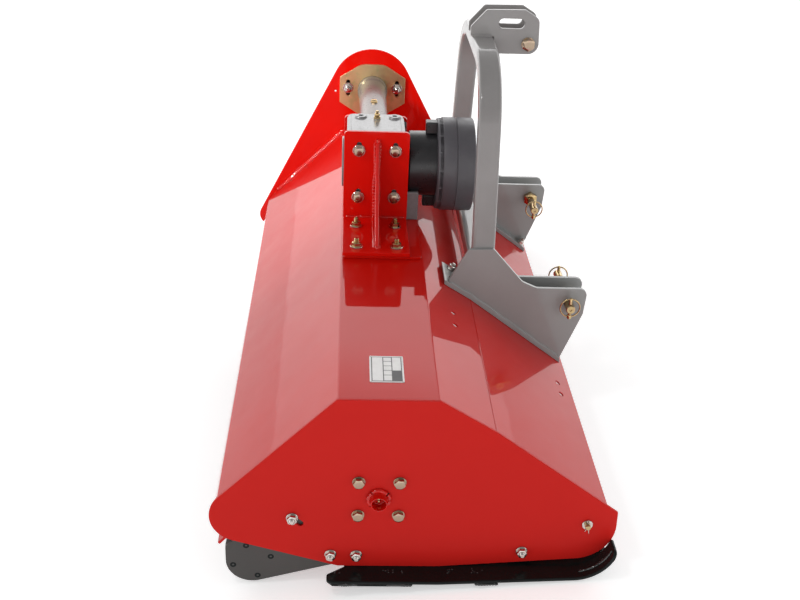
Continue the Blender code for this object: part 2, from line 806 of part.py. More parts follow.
def make_rotor(axis):
    """Rotor tube with its lugs and stub shafts; zero angle points straight down."""
    wall = ROTOR_TUBE - ROTOR_WALL
    disc = ROTOR_DISC
    right_tip = PLATE_INNER_X - GAP - 2 * SHAFT_END_PLAY
    profile = [(ROTOR_BORE, right_tip), (ROTOR_SHAFT, right_tip), (ROTOR_SHAFT, ROTOR_RIGHT),
               (ROTOR_TUBE, ROTOR_RIGHT), (ROTOR_TUBE, ROTOR_LEFT), (ROTOR_SHAFT, ROTOR_LEFT),
               (ROTOR_SHAFT, SHAFT_END_X), (ROTOR_BORE, SHAFT_END_X), (ROTOR_BORE, ROTOR_LEFT + disc),
               (wall, ROTOR_LEFT + disc), (wall, ROTOR_RIGHT - disc), (ROTOR_BORE, ROTOR_RIGHT - disc)]
    tube = turned(profile, FINE, closed=True)
    lug = side_plate(lug_outline(), LUG)
    offset = HAMMER_SHANK / 2 + LUG_SIDE_PLAY + LUG / 2
    pin = bolt_pin(HAMMER_PIN, 2 * offset + LUG, M16[1])
    lugs = []
    for x, angle in hammer_places():
        turn = Matrix.Rotation(angle, 4, 'X')
        pair = union(pin, moved(lug, -offset, z=PIN_CIRCLE), moved(lug, offset, z=PIN_CIRCLE))
        lugs.append(moved(pair, x, turn=turn @ Matrix.Translation((0, 0, -PIN_CIRCLE))))
    put("rotor", union(tube, joined(*lugs)), RED, parent=axis)


def bolt_pin(radius, grip, flats):
    """Cross bolt along X, centred, with a head and a nut that are one with their seats."""
    head = flats / math.sqrt(3)
    height = HEAD_HEIGHT * radius
    face = grip / 2 - GAP
    return union(rod(radius, -face - height / 2, face + height / 2, COARSE),
                 rod(head, face, face + height, 6),
                 rod(head, -face - height, -face, 6))


def hammer_mesh():
    """Hammer with its eye at the origin, pointing straight down."""
    eye = HAMMER_EYE - 2 * LUG_SIDE_PLAY
    bend = eye - GAP
    waist = HAMMER_WAIST
    low = -HAMMER_HEAD_TOP - HAMMER_EDGE
    stem_outline = rounded([(-eye, eye, bend), (eye, eye, bend), (eye, -HAMMER_WAIST_START, waist),
                            (waist, -HAMMER_WAIST_END, 0), (waist, low, 0), (-waist, low, 0),
                            (-waist, -HAMMER_WAIST_END, 0), (-eye, -HAMMER_WAIST_START, waist)],
                           math.radians(45))
    stem = side_plate(stem_outline, HAMMER_SHANK, [circle((0, 0), HAMMER_PIN + PLAY, SMALL)])
    half = HAMMER_HEAD_HALF
    edge = HAMMER_EDGE
    head_outline = [(-half, -HAMMER_HEAD_TOP), (-half, -HAMMER_REACH + edge), (-half + edge, -HAMMER_REACH),
                    (half - edge, -HAMMER_REACH), (half, -HAMMER_REACH + edge), (half, -HAMMER_HEAD_TOP)]
    return union(stem, side_plate(head_outline, HAMMER_WIDTH))


def make_hammers(axis):
    """Hammers hang straight down, or lean on the end of their swing."""
    mesh = hammer_mesh()
    for index, (x, angle) in enumerate(hammer_places()):
        place = Matrix.Rotation(angle, 4, 'X') @ Vector((0, 0, -PIN_CIRCLE))
        hammer = put("hammer_%02d" % (index + 1), mesh, CAST, (x, place.y, place.z), axis)
        rest = max(-HAMMER_SWING, min(HAMMER_SWING, -angle))
        hammer.rotation_euler = (angle + rest, 0, 0)


def nipple_mesh():
    """Grease nipple along X, from its seat at X = 0."""
    tip = NIPPLE_REACH
    neck = 0.7 * NIPPLE
    return turned([(0, tip), (neck, tip), (NIPPLE, 0.6 * tip), (neck, 0.4 * tip), (NIPPLE_HEX, 0.3 * tip),
                   (NIPPLE_HEX, -0.1 * tip), (0, -0.1 * tip)], COARSE)


def make_bearings():
    """Flange bearings inside the end plates, with their bolts; a greased cap closes the right one."""
    half = BEARING_SIDE / 2
    corner = BEARING_CORNER
    outline = rounded([(-half, -half, corner), (half, -half, corner), (half, half, corner),
                       (-half, half, corner)], math.radians(30))
    flange = side_plate(outline, BEARING_FLANGE, x=-BEARING_FLANGE / 2)
    deep = BEARING_FLANGE + BEARING_DEPTH
    boss = rod(BEARING_BOSS, -deep, -BEARING_FLANGE / 2, FINE)
    offset = BEARING_BOLT_OFFSET
    screw = bolt(M12, PLATE + 2 * GAP + BEARING_FLANGE / 2)
    face = PLATE + 2 * GAP
    screws = [moved(screw, face, y, z) for y in (-offset, offset) for z in (-offset, offset)]
    shaft = ROTOR_SHAFT + PLAY
    cap_end = PLATE + BEARING_CAP_REACH
    cap_floor = cap_end - CAP_RECESS
    cap = rod(BEARING_CAP, -BEARING_FLANGE / 2, cap_end, MEDIUM)
    recess = rod(BEARING_CAP - CAP_WALL, cap_floor, cap_end + CUTTER_REACH, SMALL)
    blind = rod(shaft, -deep - CUTTER_REACH, -SHAFT_END_PLAY, FINE)
    right = cut(union(flange, boss, cap, *screws), blind, recess)
    right = union(right, moved(nipple_mesh(), cap_floor))
    put("bearing_housing_right", right, RED, (PLATE_INNER_X - GAP, 0, ROTOR_Z))
    through = rod(shaft, -deep - CUTTER_REACH, CUTTER_REACH, FINE)
    left = cut(union(flange.copy(), boss.copy(), *screws), through)
    left.transform(facing_left())
    put("bearing_housing_left", left, RED, (LEFT_X + GAP, 0, ROTOR_Z))


# Gearbox and drive

def side_bolts():
    """Y and height above the drive axis of the bolts that hold the gearbox between its brackets."""
    return [(y, z) for y in (-SIDE_BOLT_Y, SIDE_BOLT_Y) for z in (-SIDE_BOLT_Z, SIDE_BOLT_Z)]


def make_gearbox():
    """Gearbox casting on its foot, with its side bolts and plugs, open at the rear under its cap."""
    half = GEARBOX_HALF
    corner = GEARBOX_CORNER
    wall = GEARBOX_WALL
    low = GEARBOX_LOW_Z - DRIVE_Z
    high = GEARBOX_HIGH_Z - DRIVE_Z
    outline = rounded([(-half, GEARBOX_REAR_Y, corner), (half, GEARBOX_REAR_Y, corner),
                       (half, GEARBOX_FRONT_Y, corner), (-half, GEARBOX_FRONT_Y, corner)], math.radians(45))
    body = moved(flat_solid(outline, high - low), z=(low + high) / 2)
    neck = rod(INPUT_NECK, 0, INPUT_NECK_Y, FINE, ALONG_Y)
    output = rod(OUTPUT_NECK, -half - OUTPUT_NECK_REACH, 0, FINE)
    bosses = [moved(prism(TOP_BOSS, TOP_BOSS, SMALL), x, y, high) for x, y in TOP_BOSSES]
    wide = BREATHER_RADIUS
    rise = BREATHER_HEIGHT
    breather = turned([(0, rise), (0.65 * wide, 0.9 * rise), (wide, 0.45 * rise), (wide, -0.15 * rise),
                       (0, -0.15 * rise)], SMALL, Matrix())
    foot = box((-half + PLAY, GEARBOX_FRONT_Y - wall, FOOT_LOW_Z - DRIVE_Z),
               (half - PLAY, GEARBOX_FOOT_Y, -GEARBOX_FOOT_FALL))
    guard = rod(COLLAR_RADIUS + 2 * GAP, INPUT_NECK_Y - PLAY, GEARBOX_FOOT_Y + CUTTER_REACH, FINE, ALONG_Y)
    body = union(body, cut(foot, guard), neck, output, *bosses, moved(breather, *BREATHER, high))
    cavity = box((-half + wall, GEARBOX_REAR_Y + wall, low + wall),
                 (half - wall, GEARBOX_FRONT_Y - wall, high - wall))
    rear_bore = rod(REAR_BORE, GEARBOX_REAR_Y - CUTTER_REACH, GEARBOX_REAR_Y + CUTTER_REACH, FINE, ALONG_Y)
    input_bore = rod(INPUT_SHAFT + PLAY, 0, INPUT_NECK_Y + CUTTER_REACH, FINE, ALONG_Y)
    output_bore = rod(CROSS_SHAFT + PLAY, -half - OUTPUT_NECK_REACH - CUTTER_REACH, 0, FINE)
    screw = bolt(M12, BRACKET + 2 * GAP + wall / 2)
    face = half + BRACKET + 2 * GAP
    screws = [moved(screw, face, y, z) for y, z in side_bolts()]
    screws += [moved(screw, -face, y, z, facing_left()) for y, z in side_bolts()]
    body = union(cut(body, cavity, rear_bore, input_bore, output_bore), joined(*screws))
    put("gearbox_housing", body, GREY_CAST, (GEARBOX_X, 0, DRIVE_Z))


def make_rear_cap():
    """Round cap with a spigot in the gearbox's rear bore."""
    thick = REAR_CAP_THICKNESS
    edge = REAR_CAP_EDGE
    profile = [(0, -thick), (REAR_CAP - edge, -thick), (REAR_CAP, edge - thick), (REAR_CAP, 0),
               (REAR_BORE - PLAY, 0), (REAR_BORE - PLAY, REAR_SPIGOT), (0, REAR_SPIGOT)]
    put("gearbox_rear_cover", turned(profile[::-1], FINE, ALONG_Y), GREY_CAST,
        (GEARBOX_X, GEARBOX_REAR_Y - GAP, DRIVE_Z))


def bracket_mesh(direction):
    """Ribbed bracket beside the gearbox, with its plate's inner face at X = 0."""
    half = BRACKET / 2
    top_z = BRACKET_TOP_Z if direction > 0 else BRACKET_TOP_Z - LEFT_BRACKET_DROP
    top = rounded([(BRACKET_REAR_Y, FOOT_LOW_Z + half, 0), (BRACKET_FRONT_Y, FOOT_LOW_Z + half, 0),
                   (BRACKET_FRONT_Y, top_z, BRACKET_CORNER), (BRACKET_REAR_Y, top_z, BRACKET_CORNER)],
                  math.radians(30))
    holes = []
    for y in (-SIDE_BOLT_Y, SIDE_BOLT_Y):
        for z in (-SIDE_BOLT_Z, SIDE_BOLT_Z):
            holes.append(slot((y, DRIVE_Z + z), (y, DRIVE_Z + z + SIDE_SLOT_RISE), hole_for(M12)))
    if direction < 0:
        holes.append(circle((0, DRIVE_Z), OUTPUT_NECK + PLAY, FINE))
    plate = side_plate(top, BRACKET, holes, direction * BRACKET / 2)
    inner, outer = sorted((direction * PLAY, direction * FOOT_REACH))
    foot = box((inner, BRACKET_REAR_Y + PLAY, FOOT_LOW_Z), (outer, BRACKET_FRONT_Y - PLAY, FOOT_TOP_Z))
    rib_top = RIB_TOP_Z if direction > 0 else DRIVE_Z - TUBE_WIDE - RIB_CLEAR
    rib = flat_solid([(direction * half, FOOT_LOW_Z + half), (direction * RIB_REACH, FOOT_LOW_Z + half),
                      (direction * RIB_REACH, FOOT_TOP_Z + half), (direction * (BRACKET + half), rib_top),
                      (direction * half, rib_top)], BRACKET)
    rib.transform(Matrix.Rotation(math.pi / 2, 4, 'X'))
    grip = FOOT_TOP_Z - HOOD_TOP_Z + SHEET + GAP
    stud = moved(bolt(M12, grip, nut=True), turn=Matrix.Rotation(math.pi / 2, 4, 'Y'))
    studs = []
    for x in (FOOT_BOLT_NEAR, FOOT_BOLT_FAR):
        places = [(direction * x, y) for y in (-FOOT_BOLT_Y, FOOT_BOLT_Y)]
        studs += [moved(stud, *place, HOOD_TOP_Z - SHEET - GAP) for place in places]
    return union(plate, foot, rib, joined(*studs))


def bracket_x(direction):
    return GEARBOX_X + direction * (GEARBOX_HALF + GAP)


def foot_bolts():
    places = []
    for direction in (-1, 1):
        for x in (FOOT_BOLT_NEAR, FOOT_BOLT_FAR):
            places += [(bracket_x(direction) + direction * x, y) for y in (-FOOT_BOLT_Y, FOOT_BOLT_Y)]
    return places


def make_brackets():
    put("gearbox_bracket_right", bracket_mesh(1), RED, (bracket_x(1), 0, 0))
    put("gearbox_bracket_left", bracket_mesh(-1), RED, (bracket_x(-1), 0, 0))


def flange_bolts():
    return [(y, DRIVE_Z + FLANGE_BOLT_Z) for y in (-FLANGE_BOLT_Y, FLANGE_BOLT_Y)]


def make_shaft_tube():
    """Conical tube round the cross shaft, with a bearing seat at each end, and its flange."""
    seat = CROSS_SHAFT + PLAY
    start = TUBE_START_X
    end = TUBE_END_X
    profile = [(TUBE_NARROW, start), (TUBE_WIDE, end + TUBE_STRAIGHT), (TUBE_WIDE, end), (seat, end),
               (seat, end + TUBE_SEAT), (TUBE_BORE, end + TUBE_SEAT), (TUBE_BORE, start - TUBE_SEAT),
               (seat, start - TUBE_SEAT), (seat, start)]
    put("shaft_tube", turned(profile, FINE, closed=True), GREY_CAST, (0, 0, DRIVE_Z))
    corners = []
    for y, z in ((1, -1), (1, 1), (-1, 1), (-1, -1)):
        pair = [(y * FLANGE_HALF_Y, z * FLANGE_SIDE_Z, 0),
                (y * FLANGE_TOP_Y, z * FLANGE_TOP_Z, FLANGE_CORNER)]
        corners += pair if y * z > 0 else pair[::-1]
    holes = [circle((0, 0), TUBE_WIDE + GAP, FINE)]
    for y in (-FLANGE_BOLT_Y, FLANGE_BOLT_Y):
        holes.append(slot((y, FLANGE_BOLT_Z - FLANGE_SLOT), (y, FLANGE_BOLT_Z + FLANGE_SLOT), hole_for(M12)))
    flange = side_plate(rounded(corners), FLANGE, holes)
    clamp = bolt(M12, FLANGE + PLATE + 2 * GAP, nut=True, sink=GAP)
    clamps = [moved(clamp, FLANGE / 2, y, FLANGE_BOLT_Z) for y in (-FLANGE_BOLT_Y, FLANGE_BOLT_Y)]
    flange = union(flange, *clamps)
    put("tube_flange", flange, ZINC_YELLOW, (TUBE_END_X + FLANGE / 2, 0, DRIVE_Z))


def pitch_cone():
    """Half angle of the input gear's pitch cone."""
    return math.atan(GEAR_RATIO)


def make_shafts(input_axis, cross_axis):
    """Splined input shaft, its bevel gear, and cross shaft in one with its pinion."""
    cone = pitch_cone()
    outer = GEAR_RADIUS / math.sin(cone)
    inner = outer * (1 - GEAR_FACE_SHARE)
    back = outer * math.cos(cone) + GEAR_RIM
    hub_end = GEARBOX_FRONT_Y - GEARBOX_WALL - GEARBOX_FLOAT - GEAR_HUB
    hub = INPUT_SHAFT + GEAR_HUB_WALL
    bore = INPUT_SHAFT + GAP
    gear = turned([(bore, hub_end), (hub, hub_end), (hub + GEAR_HUB_WALL, hub_end - GEAR_HUB_WALL),
                   (GEAR_RADIUS, back), (GEAR_RADIUS, back - GEAR_RIM),
                   (inner * math.sin(cone), inner * math.cos(cone)), (bore, inner * math.cos(cone))],
                  FINE, ALONG_Y, closed=True)
    put("input_gear", gear, STEEL, parent=input_axis)
    shaft = rod(INPUT_SHAFT, inner * math.cos(cone), INPUT_NECK_Y, FINE, ALONG_Y)
    put("pto_shaft", union(shaft, spline_mesh()), STEEL, parent=input_axis)
    far = outer * math.sin(cone)
    near = inner * math.sin(cone)
    pinion = turned([(0, -near), (inner * math.cos(cone) - GEAR_BACKLASH, -near),
                     (outer * math.cos(cone) - GEAR_BACKLASH, -far), (0, -far)], MEDIUM)
    bar = rod(CROSS_SHAFT, SHAFT_END_X - GEARBOX_X, (-far - near) / 2, FINE)
    put("cross_shaft", union(bar, pinion), STEEL, parent=cross_axis)


def spline_mesh():
    """Splined end of the input shaft, from just inside the neck to its tip."""
    root = INPUT_SHAFT * (1 - SPLINE_DEPTH_SHARE)
    pitch = 2 * math.pi / SPLINES
    corners = ((-SPLINE_TIP_SHARE, INPUT_SHAFT), (SPLINE_TIP_SHARE, INPUT_SHAFT), (SPLINE_FOOT_SHARE, root),
               (1 - SPLINE_FOOT_SHARE, root))
    star = [turned_point((0, 0), radius, (tooth + share) * pitch) for tooth in range(SPLINES)
            for share, radius in corners]
    start = INPUT_NECK_Y - GEAR_HUB_WALL
    spline = flat_solid(star, INPUT_SHAFT_Y - start)
    spline.transform(ALONG_Y @ Matrix.Translation((0, 0, (INPUT_SHAFT_Y + start) / 2)))
    return spline


def pulley_mesh(radius, bore):
    """Grooved pulley with its right face at X = 0."""
    hub = radius - GROOVE_DEPTH
    profile = [(bore, 0), (radius, 0)]
    for groove in range(GROOVES):
        middle = -(groove + 0.5) * GROOVE_PITCH
        profile += [(radius, middle + GROOVE_TOP), (hub, middle + GROOVE_FLOOR),
                    (hub, middle - GROOVE_FLOOR), (radius, middle - GROOVE_TOP)]
    profile += [(radius, -PULLEY_WIDTH), (bore, -PULLEY_WIDTH)]
    return turned(profile, MEDIUM, closed=True)


def belt_outline(inset):
    return hull_of_circles((0, ROTOR_Z), LOWER_PULLEY - inset, (0, DRIVE_Z), UPPER_PULLEY - inset)


def belt_mesh():
    """One V-belt as a closed loop, with its section narrowing inward."""
    outer = belt_outline(-BELT_STANDS)
    inner = belt_outline(BELT_DEPTH - BELT_STANDS)
    shape = bmesh.new()
    rings = []
    for (oy, oz), (iy, iz) in zip(outer, inner):
        section = ((BELT_TOP, oy, oz), (-BELT_TOP, oy, oz), (-BELT_FLOOR, iy, iz), (BELT_FLOOR, iy, iz))
        rings.append([shape.verts.new(point) for point in section])
    for first, second in zip(rings, rings[1:] + rings[:1]):
        for i in range(4):
            shape.faces.new((first[i], first[(i + 1) % 4], second[(i + 1) % 4], second[i]))
    bmesh.ops.recalc_face_normals(shape, faces=shape.faces)
    mesh = bpy.data.meshes.new("belt")
    shape.to_mesh(mesh)
    shape.free()
    return mesh


def make_belt_drive(rotor_axis, cross_axis):
    put("upper_pulley", pulley_mesh(UPPER_PULLEY, CROSS_SHAFT + PLAY), CAST, (PULLEY_RIGHT - GEARBOX_X, 0, 0),
        cross_axis)
    put("lower_pulley", pulley_mesh(LOWER_PULLEY, ROTOR_SHAFT + PLAY), CAST, (PULLEY_RIGHT, 0, 0), rotor_axis)
    belt = belt_mesh()
    for groove in range(GROOVES):
        x = PULLEY_RIGHT - (groove + 0.5) * GROOVE_PITCH
        put("drive_belt_%d" % (groove + 1), belt, RUBBER, (x, 0, 0))


def make_belt_cover():
    low = (0, ROTOR_Z)
    high = (0, DRIVE_Z)
    outer = hull_of_circles(low, COVER_LOW_RADIUS, high, COVER_TOP_RADIUS)
    inner = hull_of_circles(low, COVER_LOW_RADIUS - COVER_WALL, high, COVER_TOP_RADIUS - COVER_WALL)
    shell = side_plate(outer, COVER_DEPTH, x=-COVER_DEPTH / 2)
    hollow = side_plate(inner, COVER_DEPTH, x=-COVER_DEPTH / 2 + COVER_WALL)
    sheet = COVER_EAR_THICKNESS
    ears = []
    for y, z in COVER_EARS:
        root = (0.8 * y, z if y else z + COVER_EAR)
        ears.append(side_plate(slot(root, (y, z), COVER_EAR), sheet, x=-sheet / 2))
    screw = bolt(M10, sheet + PLATE + 2 * GAP, nut=True, sink=GAP)
    screws = [moved(screw, -sheet, y, z, facing_left()) for y, z in COVER_EARS]
    cover = union(cut(union(shell, joined(*ears)), hollow), joined(*screws))
    put("belt_cover", cover, RED, (LEFT_OUTER_X - GAP, 0, 0))


# Guard round the drive shaft

def make_guard():
    wall = GUARD_WALL
    rear = INPUT_NECK_Y + GAP
    collar = [(COLLAR_RADIUS, COLLAR_FRONT_Y), (COLLAR_RADIUS, rear), (COLLAR_HOLE, rear),
              (COLLAR_HOLE, rear + wall), (COLLAR_RADIUS - wall, rear + wall),
              (COLLAR_RADIUS - wall, COLLAR_FRONT_Y)]
    put("pto_guard_collar", turned(collar, FINE, ALONG_Y, closed=True), BLACK, (GEARBOX_X, 0, DRIVE_Z))
    inner = COLLAR_RADIUS + GAP
    lip = DRUM_RADIUS - GUARD_LIP
    drum = [(DRUM_RADIUS, DRUM_FRONT_Y), (DRUM_RADIUS, DRUM_REAR_Y), (inner, DRUM_REAR_Y),
            (inner, DRUM_REAR_Y + wall), (DRUM_RADIUS - wall, DRUM_REAR_Y + wall),
            (DRUM_RADIUS - wall, DRUM_FRONT_Y - wall), (lip, DRUM_FRONT_Y - wall), (lip, DRUM_FRONT_Y)]
    half = LATCH_WIDTH / 2
    latches = []
    for side in (-1, 1):
        low, high = sorted((side * (COLLAR_RADIUS + GAP), side * LATCH_TOP))
        latches.append(box((-half, LATCH_REAR_Y, low), (half, DRUM_REAR_Y + wall / 2, high)))
    drum = union(turned(drum, FINE, ALONG_Y, closed=True), joined(*latches))
    put("pto_guard_drum", drum, BLACK, (GEARBOX_X, 0, DRIVE_Z))


# Roller

def arm_outline():
    end = ROLLER_Y - ARM_END_RADIUS
    foot_y = ROLLER_Y + ARM_END_RADIUS * math.sin(ARM_FALL)
    foot_z = ROLLER_Z - ARM_END_RADIUS * math.cos(ARM_FALL)
    corner_z = foot_z + (end - foot_y) * math.tan(ARM_FALL)
    front_z = foot_z + (ARM_FRONT_Y - foot_y) * math.tan(ARM_FALL)
    return rounded([(end, corner_z, ARM_END_RADIUS), (ARM_FRONT_Y, front_z, ARM_CORNER), *ARM_TOP_CORNERS,
                    (end, ARM_REAR_Z, ARM_CORNER)])


def roller_bolts():
    angles = [ROLLER_BOLT_ANGLE + math.pi / 2 * i for i in range(4)]
    return [turned_point((ROLLER_Y, ROLLER_Z), ROLLER_BOLT_CIRCLE, angle) for angle in angles]


def make_roller_arms():
    """Arm plates inside the end plates, with the bolts that clamp them there."""
    arm = side_plate(arm_outline(), PLATE, [circle(place, ROLLER_BOLT + PLAY) for place in roller_bolts()])
    clamp = bolt(M12, 2 * PLATE + 2 * GAP, washer=True, nut=True)
    clamps = [moved(clamp, PLATE / 2 + PLATE + 2 * GAP, y, z) for y, z in ARM_BOLTS]
    arm = union(arm, *clamps)
    put("roller_arm_right", arm, DARK_GREY, (ARM_X, 0, 0))
    put("roller_arm_left", mirrored(arm), DARK_GREY, (LEFT_X + GAP + PLATE / 2, 0, 0))


def roller_middle():
    """Middle of the span between the two end plates' inner faces."""
    return (PLATE_INNER_X + LEFT_X) / 2


def make_roller(axis):
    inner = ROLLER_RADIUS - ROLLER_WALL
    disc = ROLLER_HALF - ROLLER_DISC
    profile = [(ROLLER_STUB_BORE, ROLLER_SPAN), (ROLLER_STUB, ROLLER_SPAN), (ROLLER_STUB, ROLLER_HALF),
               (ROLLER_RADIUS, ROLLER_HALF), (ROLLER_RADIUS, -ROLLER_HALF), (ROLLER_STUB, -ROLLER_HALF),
               (ROLLER_STUB, -ROLLER_SPAN), (ROLLER_STUB_BORE, -ROLLER_SPAN), (ROLLER_STUB_BORE, -disc),
               (inner, -disc), (inner, disc), (ROLLER_STUB_BORE, disc)]
    put("rear_roller", turned(profile, FINE, closed=True), DARK_GREY, parent=axis)
    outer = (PLATE_INNER_X - LEFT_X) / 2 - 2 * GAP - PLATE
    flange_end = outer - ROLLER_BEARING_FLANGE
    boss_end = flange_end - ROLLER_BEARING_DEPTH
    bore = ROLLER_STUB + PLAY
    stack = turned([(bore, outer), (ROLLER_BEARING_RADIUS, outer), (ROLLER_BEARING_RADIUS, flange_end),
                    (ROLLER_BEARING_BOSS, flange_end), (ROLLER_BEARING_BOSS, boss_end), (bore, boss_end)],
                   FINE, closed=True)
    screw = rod(ROLLER_BOLT, outer - ROLLER_BEARING_FLANGE / 2, outer + GAP + PLATE, COARSE)
    places = [(y - ROLLER_Y, z - ROLLER_Z) for y, z in roller_bolts()]
    bearing = union(stack, joined(*[moved(screw, 0, y, z) for y, z in places]))
    put("roller_bearing_right", bearing, DARK_GREY, (roller_middle(), ROLLER_Y, ROLLER_Z))
    put("roller_bearing_left", mirrored(bearing), DARK_GREY, (roller_middle(), ROLLER_Y, ROLLER_Z))


# Skids

def skid_section():
    """Side view of the sole: flat, then rising, then turned up at the nose."""
    low = [(SOLE_REAR_OUT_Y, SOLE_LOW_Z), (BOTTOM_FRONT_Y, SOLE_LOW_Z)]
    high = [(SOLE_REAR_OUT_Y, SOLE_TOP_Z), (BOTTOM_FRONT_Y, SOLE_TOP_Z)]
    centre = (SOLE_NOSE_Y, NOSE_CENTRE_Z)
    steps = 7
    for i in range(steps + 1):
        angle = SOLE_RISE + (SOLE_NOSE_TURN - SOLE_RISE) * i / steps - math.pi / 2
        low.append(turned_point(centre, SOLE_NOSE_RADIUS, angle))
        high.append(turned_point(centre, SOLE_NOSE_RADIUS - SOLE, angle))
    return low + high[::-1]


def ear_outline(span, place):
    rear, front = span
    top = place[1] + SKID_EAR_TOP
    return rounded([(rear, SOLE_LOW_Z + SOLE / 2, 0), (front, SOLE_LOW_Z + SOLE / 2, 0),
                    (front, top, SKID_EAR_CORNER), (rear, top, SKID_EAR_CORNER)], math.radians(45))


def skid_mesh():
    """Right skid with its bolts and wear strip, with the end plate's outer face at X = 0."""
    sole = side_plate(skid_section(), SOLE_IN + SOLE_OUT, x=(SOLE_OUT - SOLE_IN) / 2)
    ear_x = -PLATE - GAP - PLATE / 2
    ears = []
    for span, place in ((EAR_REAR, SKID_BOLTS[0]), (EAR_FRONT, SKID_BOLTS[1])):
        ears.append(side_plate(ear_outline(span, place), PLATE, x=ear_x))
    clamp = bolt(M12, 2 * PLATE + 2 * GAP, washer=True, nut=True)
    clamps = [moved(clamp, GAP, *place) for place in SKID_BOLTS]
    body = union(sole, *ears)
    rear = SOLE_REAR_OUT_Y
    left = -SOLE_IN - SOLE_CUT
    right = SOLE_OUT + SOLE_CUT
    corner = flat_solid([(left, rear - SOLE_CUT), (right, rear - SOLE_CUT), (right, rear + SOLE_CORNER),
                         (SOLE_OUT, rear + SOLE_CORNER), (SOLE_OUT - SOLE_CORNER, rear), (0, SOLE_REAR_IN_Y),
                         (left, SOLE_REAR_IN_Y)], SOLE_CUT)
    nose = box((left, SOLE_NOSE_Y, SOLE_NOSE_IN_Z), (GAP, NOSE_CORNER[0] + SOLE_CUT, TOP_Z / 2))
    body = cut(body, moved(corner, z=SOLE_LOW_Z), nose)
    inset = WEAR_STRIP_INSET
    edge = SOLE_OUT - inset
    strip_outline = rounded([(-WEAR_STRIP_IN, SOLE_REAR_IN_Y + inset, 0),
                             (0.0, SOLE_REAR_IN_Y + inset, 0),
                             (edge - SOLE_CORNER, rear + inset, inset),
                             (edge, rear + SOLE_CORNER + inset, inset),
                             (edge, WEAR_STRIP_FRONT_Y, WEAR_STRIP_CORNER),
                             (-WEAR_STRIP_IN, WEAR_STRIP_FRONT_Y, 0)], math.radians(45))
    strip = moved(flat_solid(strip_outline, WEAR_STRIP), z=SOLE_LOW_Z + GAP - WEAR_STRIP / 2)
    return union(body, strip, joined(*clamps))


def mirrored(mesh):
    """Copy mirrored across X, with its faces still pointing out."""
    shape = bmesh.new()
    shape.from_mesh(mesh)
    bmesh.ops.scale(shape, vec=(-1, 1, 1), verts=shape.verts)
    bmesh.ops.reverse_faces(shape, faces=shape.faces)
    result = bpy.data.meshes.new("mirrored")
    shape.to_mesh(result)
    shape.free()
    return result


def make_skids():
    skid = skid_mesh()
    put("skid_right", skid, GLOSS_BLACK, (RIGHT_X, 0, 0))
    put("skid_left", mirrored(skid), GLOSS_BLACK, (LEFT_OUTER_X, 0, 0))


# Front flaps

def make_flaps():
    """Rod through both end plates, with its washers and split pins, and the flaps that hang on it."""
    end = FLAP_ROD_OVERHANG
    pieces = []
    for face, side in ((RIGHT_X + GAP, 1), (LEFT_OUTER_X - GAP, -1)):
        pieces.append(rod(WASHER, *sorted((face, face + side * WASHER_THICKNESS)), MEDIUM))
        pin = rod(SPLIT_PIN, -SPLIT_PIN_DOWN, SPLIT_PIN_UP, COARSE, Matrix())
        pieces.append(moved(pin, face + side * (WASHER_THICKNESS + 2 * SPLIT_PIN)))
    bar = union(rod(FLAP_ROD, LEFT_OUTER_X - end, RIGHT_X + end, SMALL), *pieces)
    put("flap_rod", bar, ZINC, (0, FLAP_ROD_Y, FLAP_ROD_Z))
    pitch = (2 * FLAP_HALF_SPAN + FLAP_SPACING) / FLAPS
    width = pitch - FLAP_SPACING
    eye = FLAP_EYE
    half = FLAP_THICKNESS / 2
    bend = eye - GAP
    foot = eye - half
    outline = rounded([(-eye, eye, bend), (eye, eye, bend), (eye, -eye, foot),
                       (half, -eye, 0), (half, -FLAP_LENGTH, 0), (-half, -FLAP_LENGTH, 0),
                       (-half, -eye, 0), (-eye, -eye, foot)], math.radians(45))
    mesh = side_plate(outline, width, [circle((0, 0), FLAP_ROD + PLAY, SMALL)])
    for index in range(FLAPS):
        x = roller_middle() + (index - (FLAPS - 1) / 2) * pitch
        flap = put("front_flap_%d" % (index + 1), mesh, ZINC, (x, FLAP_ROD_Y, FLAP_ROD_Z))
        flap.rotation_euler = (stance(), 0, 0)


# Hitch

def arch_leg_x():
    """Outer face of the hoop's upright legs, against the outboard clevis plates."""
    return LINK_HALF_SPAN + CLEVIS_HALF - CLEVIS_PLATE - GAP


def arch_outline():
    """Hoop in X and Z about the gearbox's middle, as a closed band."""
    outer = []
    inner = []
    centre_z = ARCH_TOP_Z - ARCH_BEND
    steps = 6
    for i in range(steps + 1):
        angle = math.pi / 2 - (math.pi / 2 - ARCH_LEAN) * i / steps
        outer.append(turned_point((ARCH_FLAT, centre_z), ARCH_BEND, angle))
        inner.append(turned_point((ARCH_FLAT, centre_z), ARCH_BEND - ARCH_BAR, angle))
    x, z = outer[-1]
    leg = arch_leg_x()
    knee_z = z - (leg - x) / math.tan(ARCH_LEAN)
    foot_z = above_slope(ARCH_Y - ARCH_DEPTH / 2, GAP + BASE_FLANGE) + GAP
    outer += [(leg, knee_z), (leg, foot_z)]
    inner += [(leg - ARCH_BAR, knee_z - ARCH_BAR * math.tan(ARCH_LEAN / 2)), (leg - ARCH_BAR, foot_z)]
    left_outer = [(-x, z) for x, z in outer[::-1]]
    left_inner = [(-x, z) for x, z in inner]
    return left_outer + outer + inner[::-1] + left_inner


def make_arch():
    arch = flat_solid(arch_outline(), ARCH_DEPTH)
    arch.transform(Matrix.Rotation(math.pi / 2, 4, 'X'))
    obj = put("hitch_arch", arch, GREY_PAINT, (GEARBOX_X, ARCH_Y, 0))
    bevel = obj.modifiers.new("edges", 'BEVEL')
    bevel.width = ARCH_EDGE
    bevel.segments = 2
    bevel.limit_method = 'ANGLE'
    bevel.angle_limit = math.radians(60)


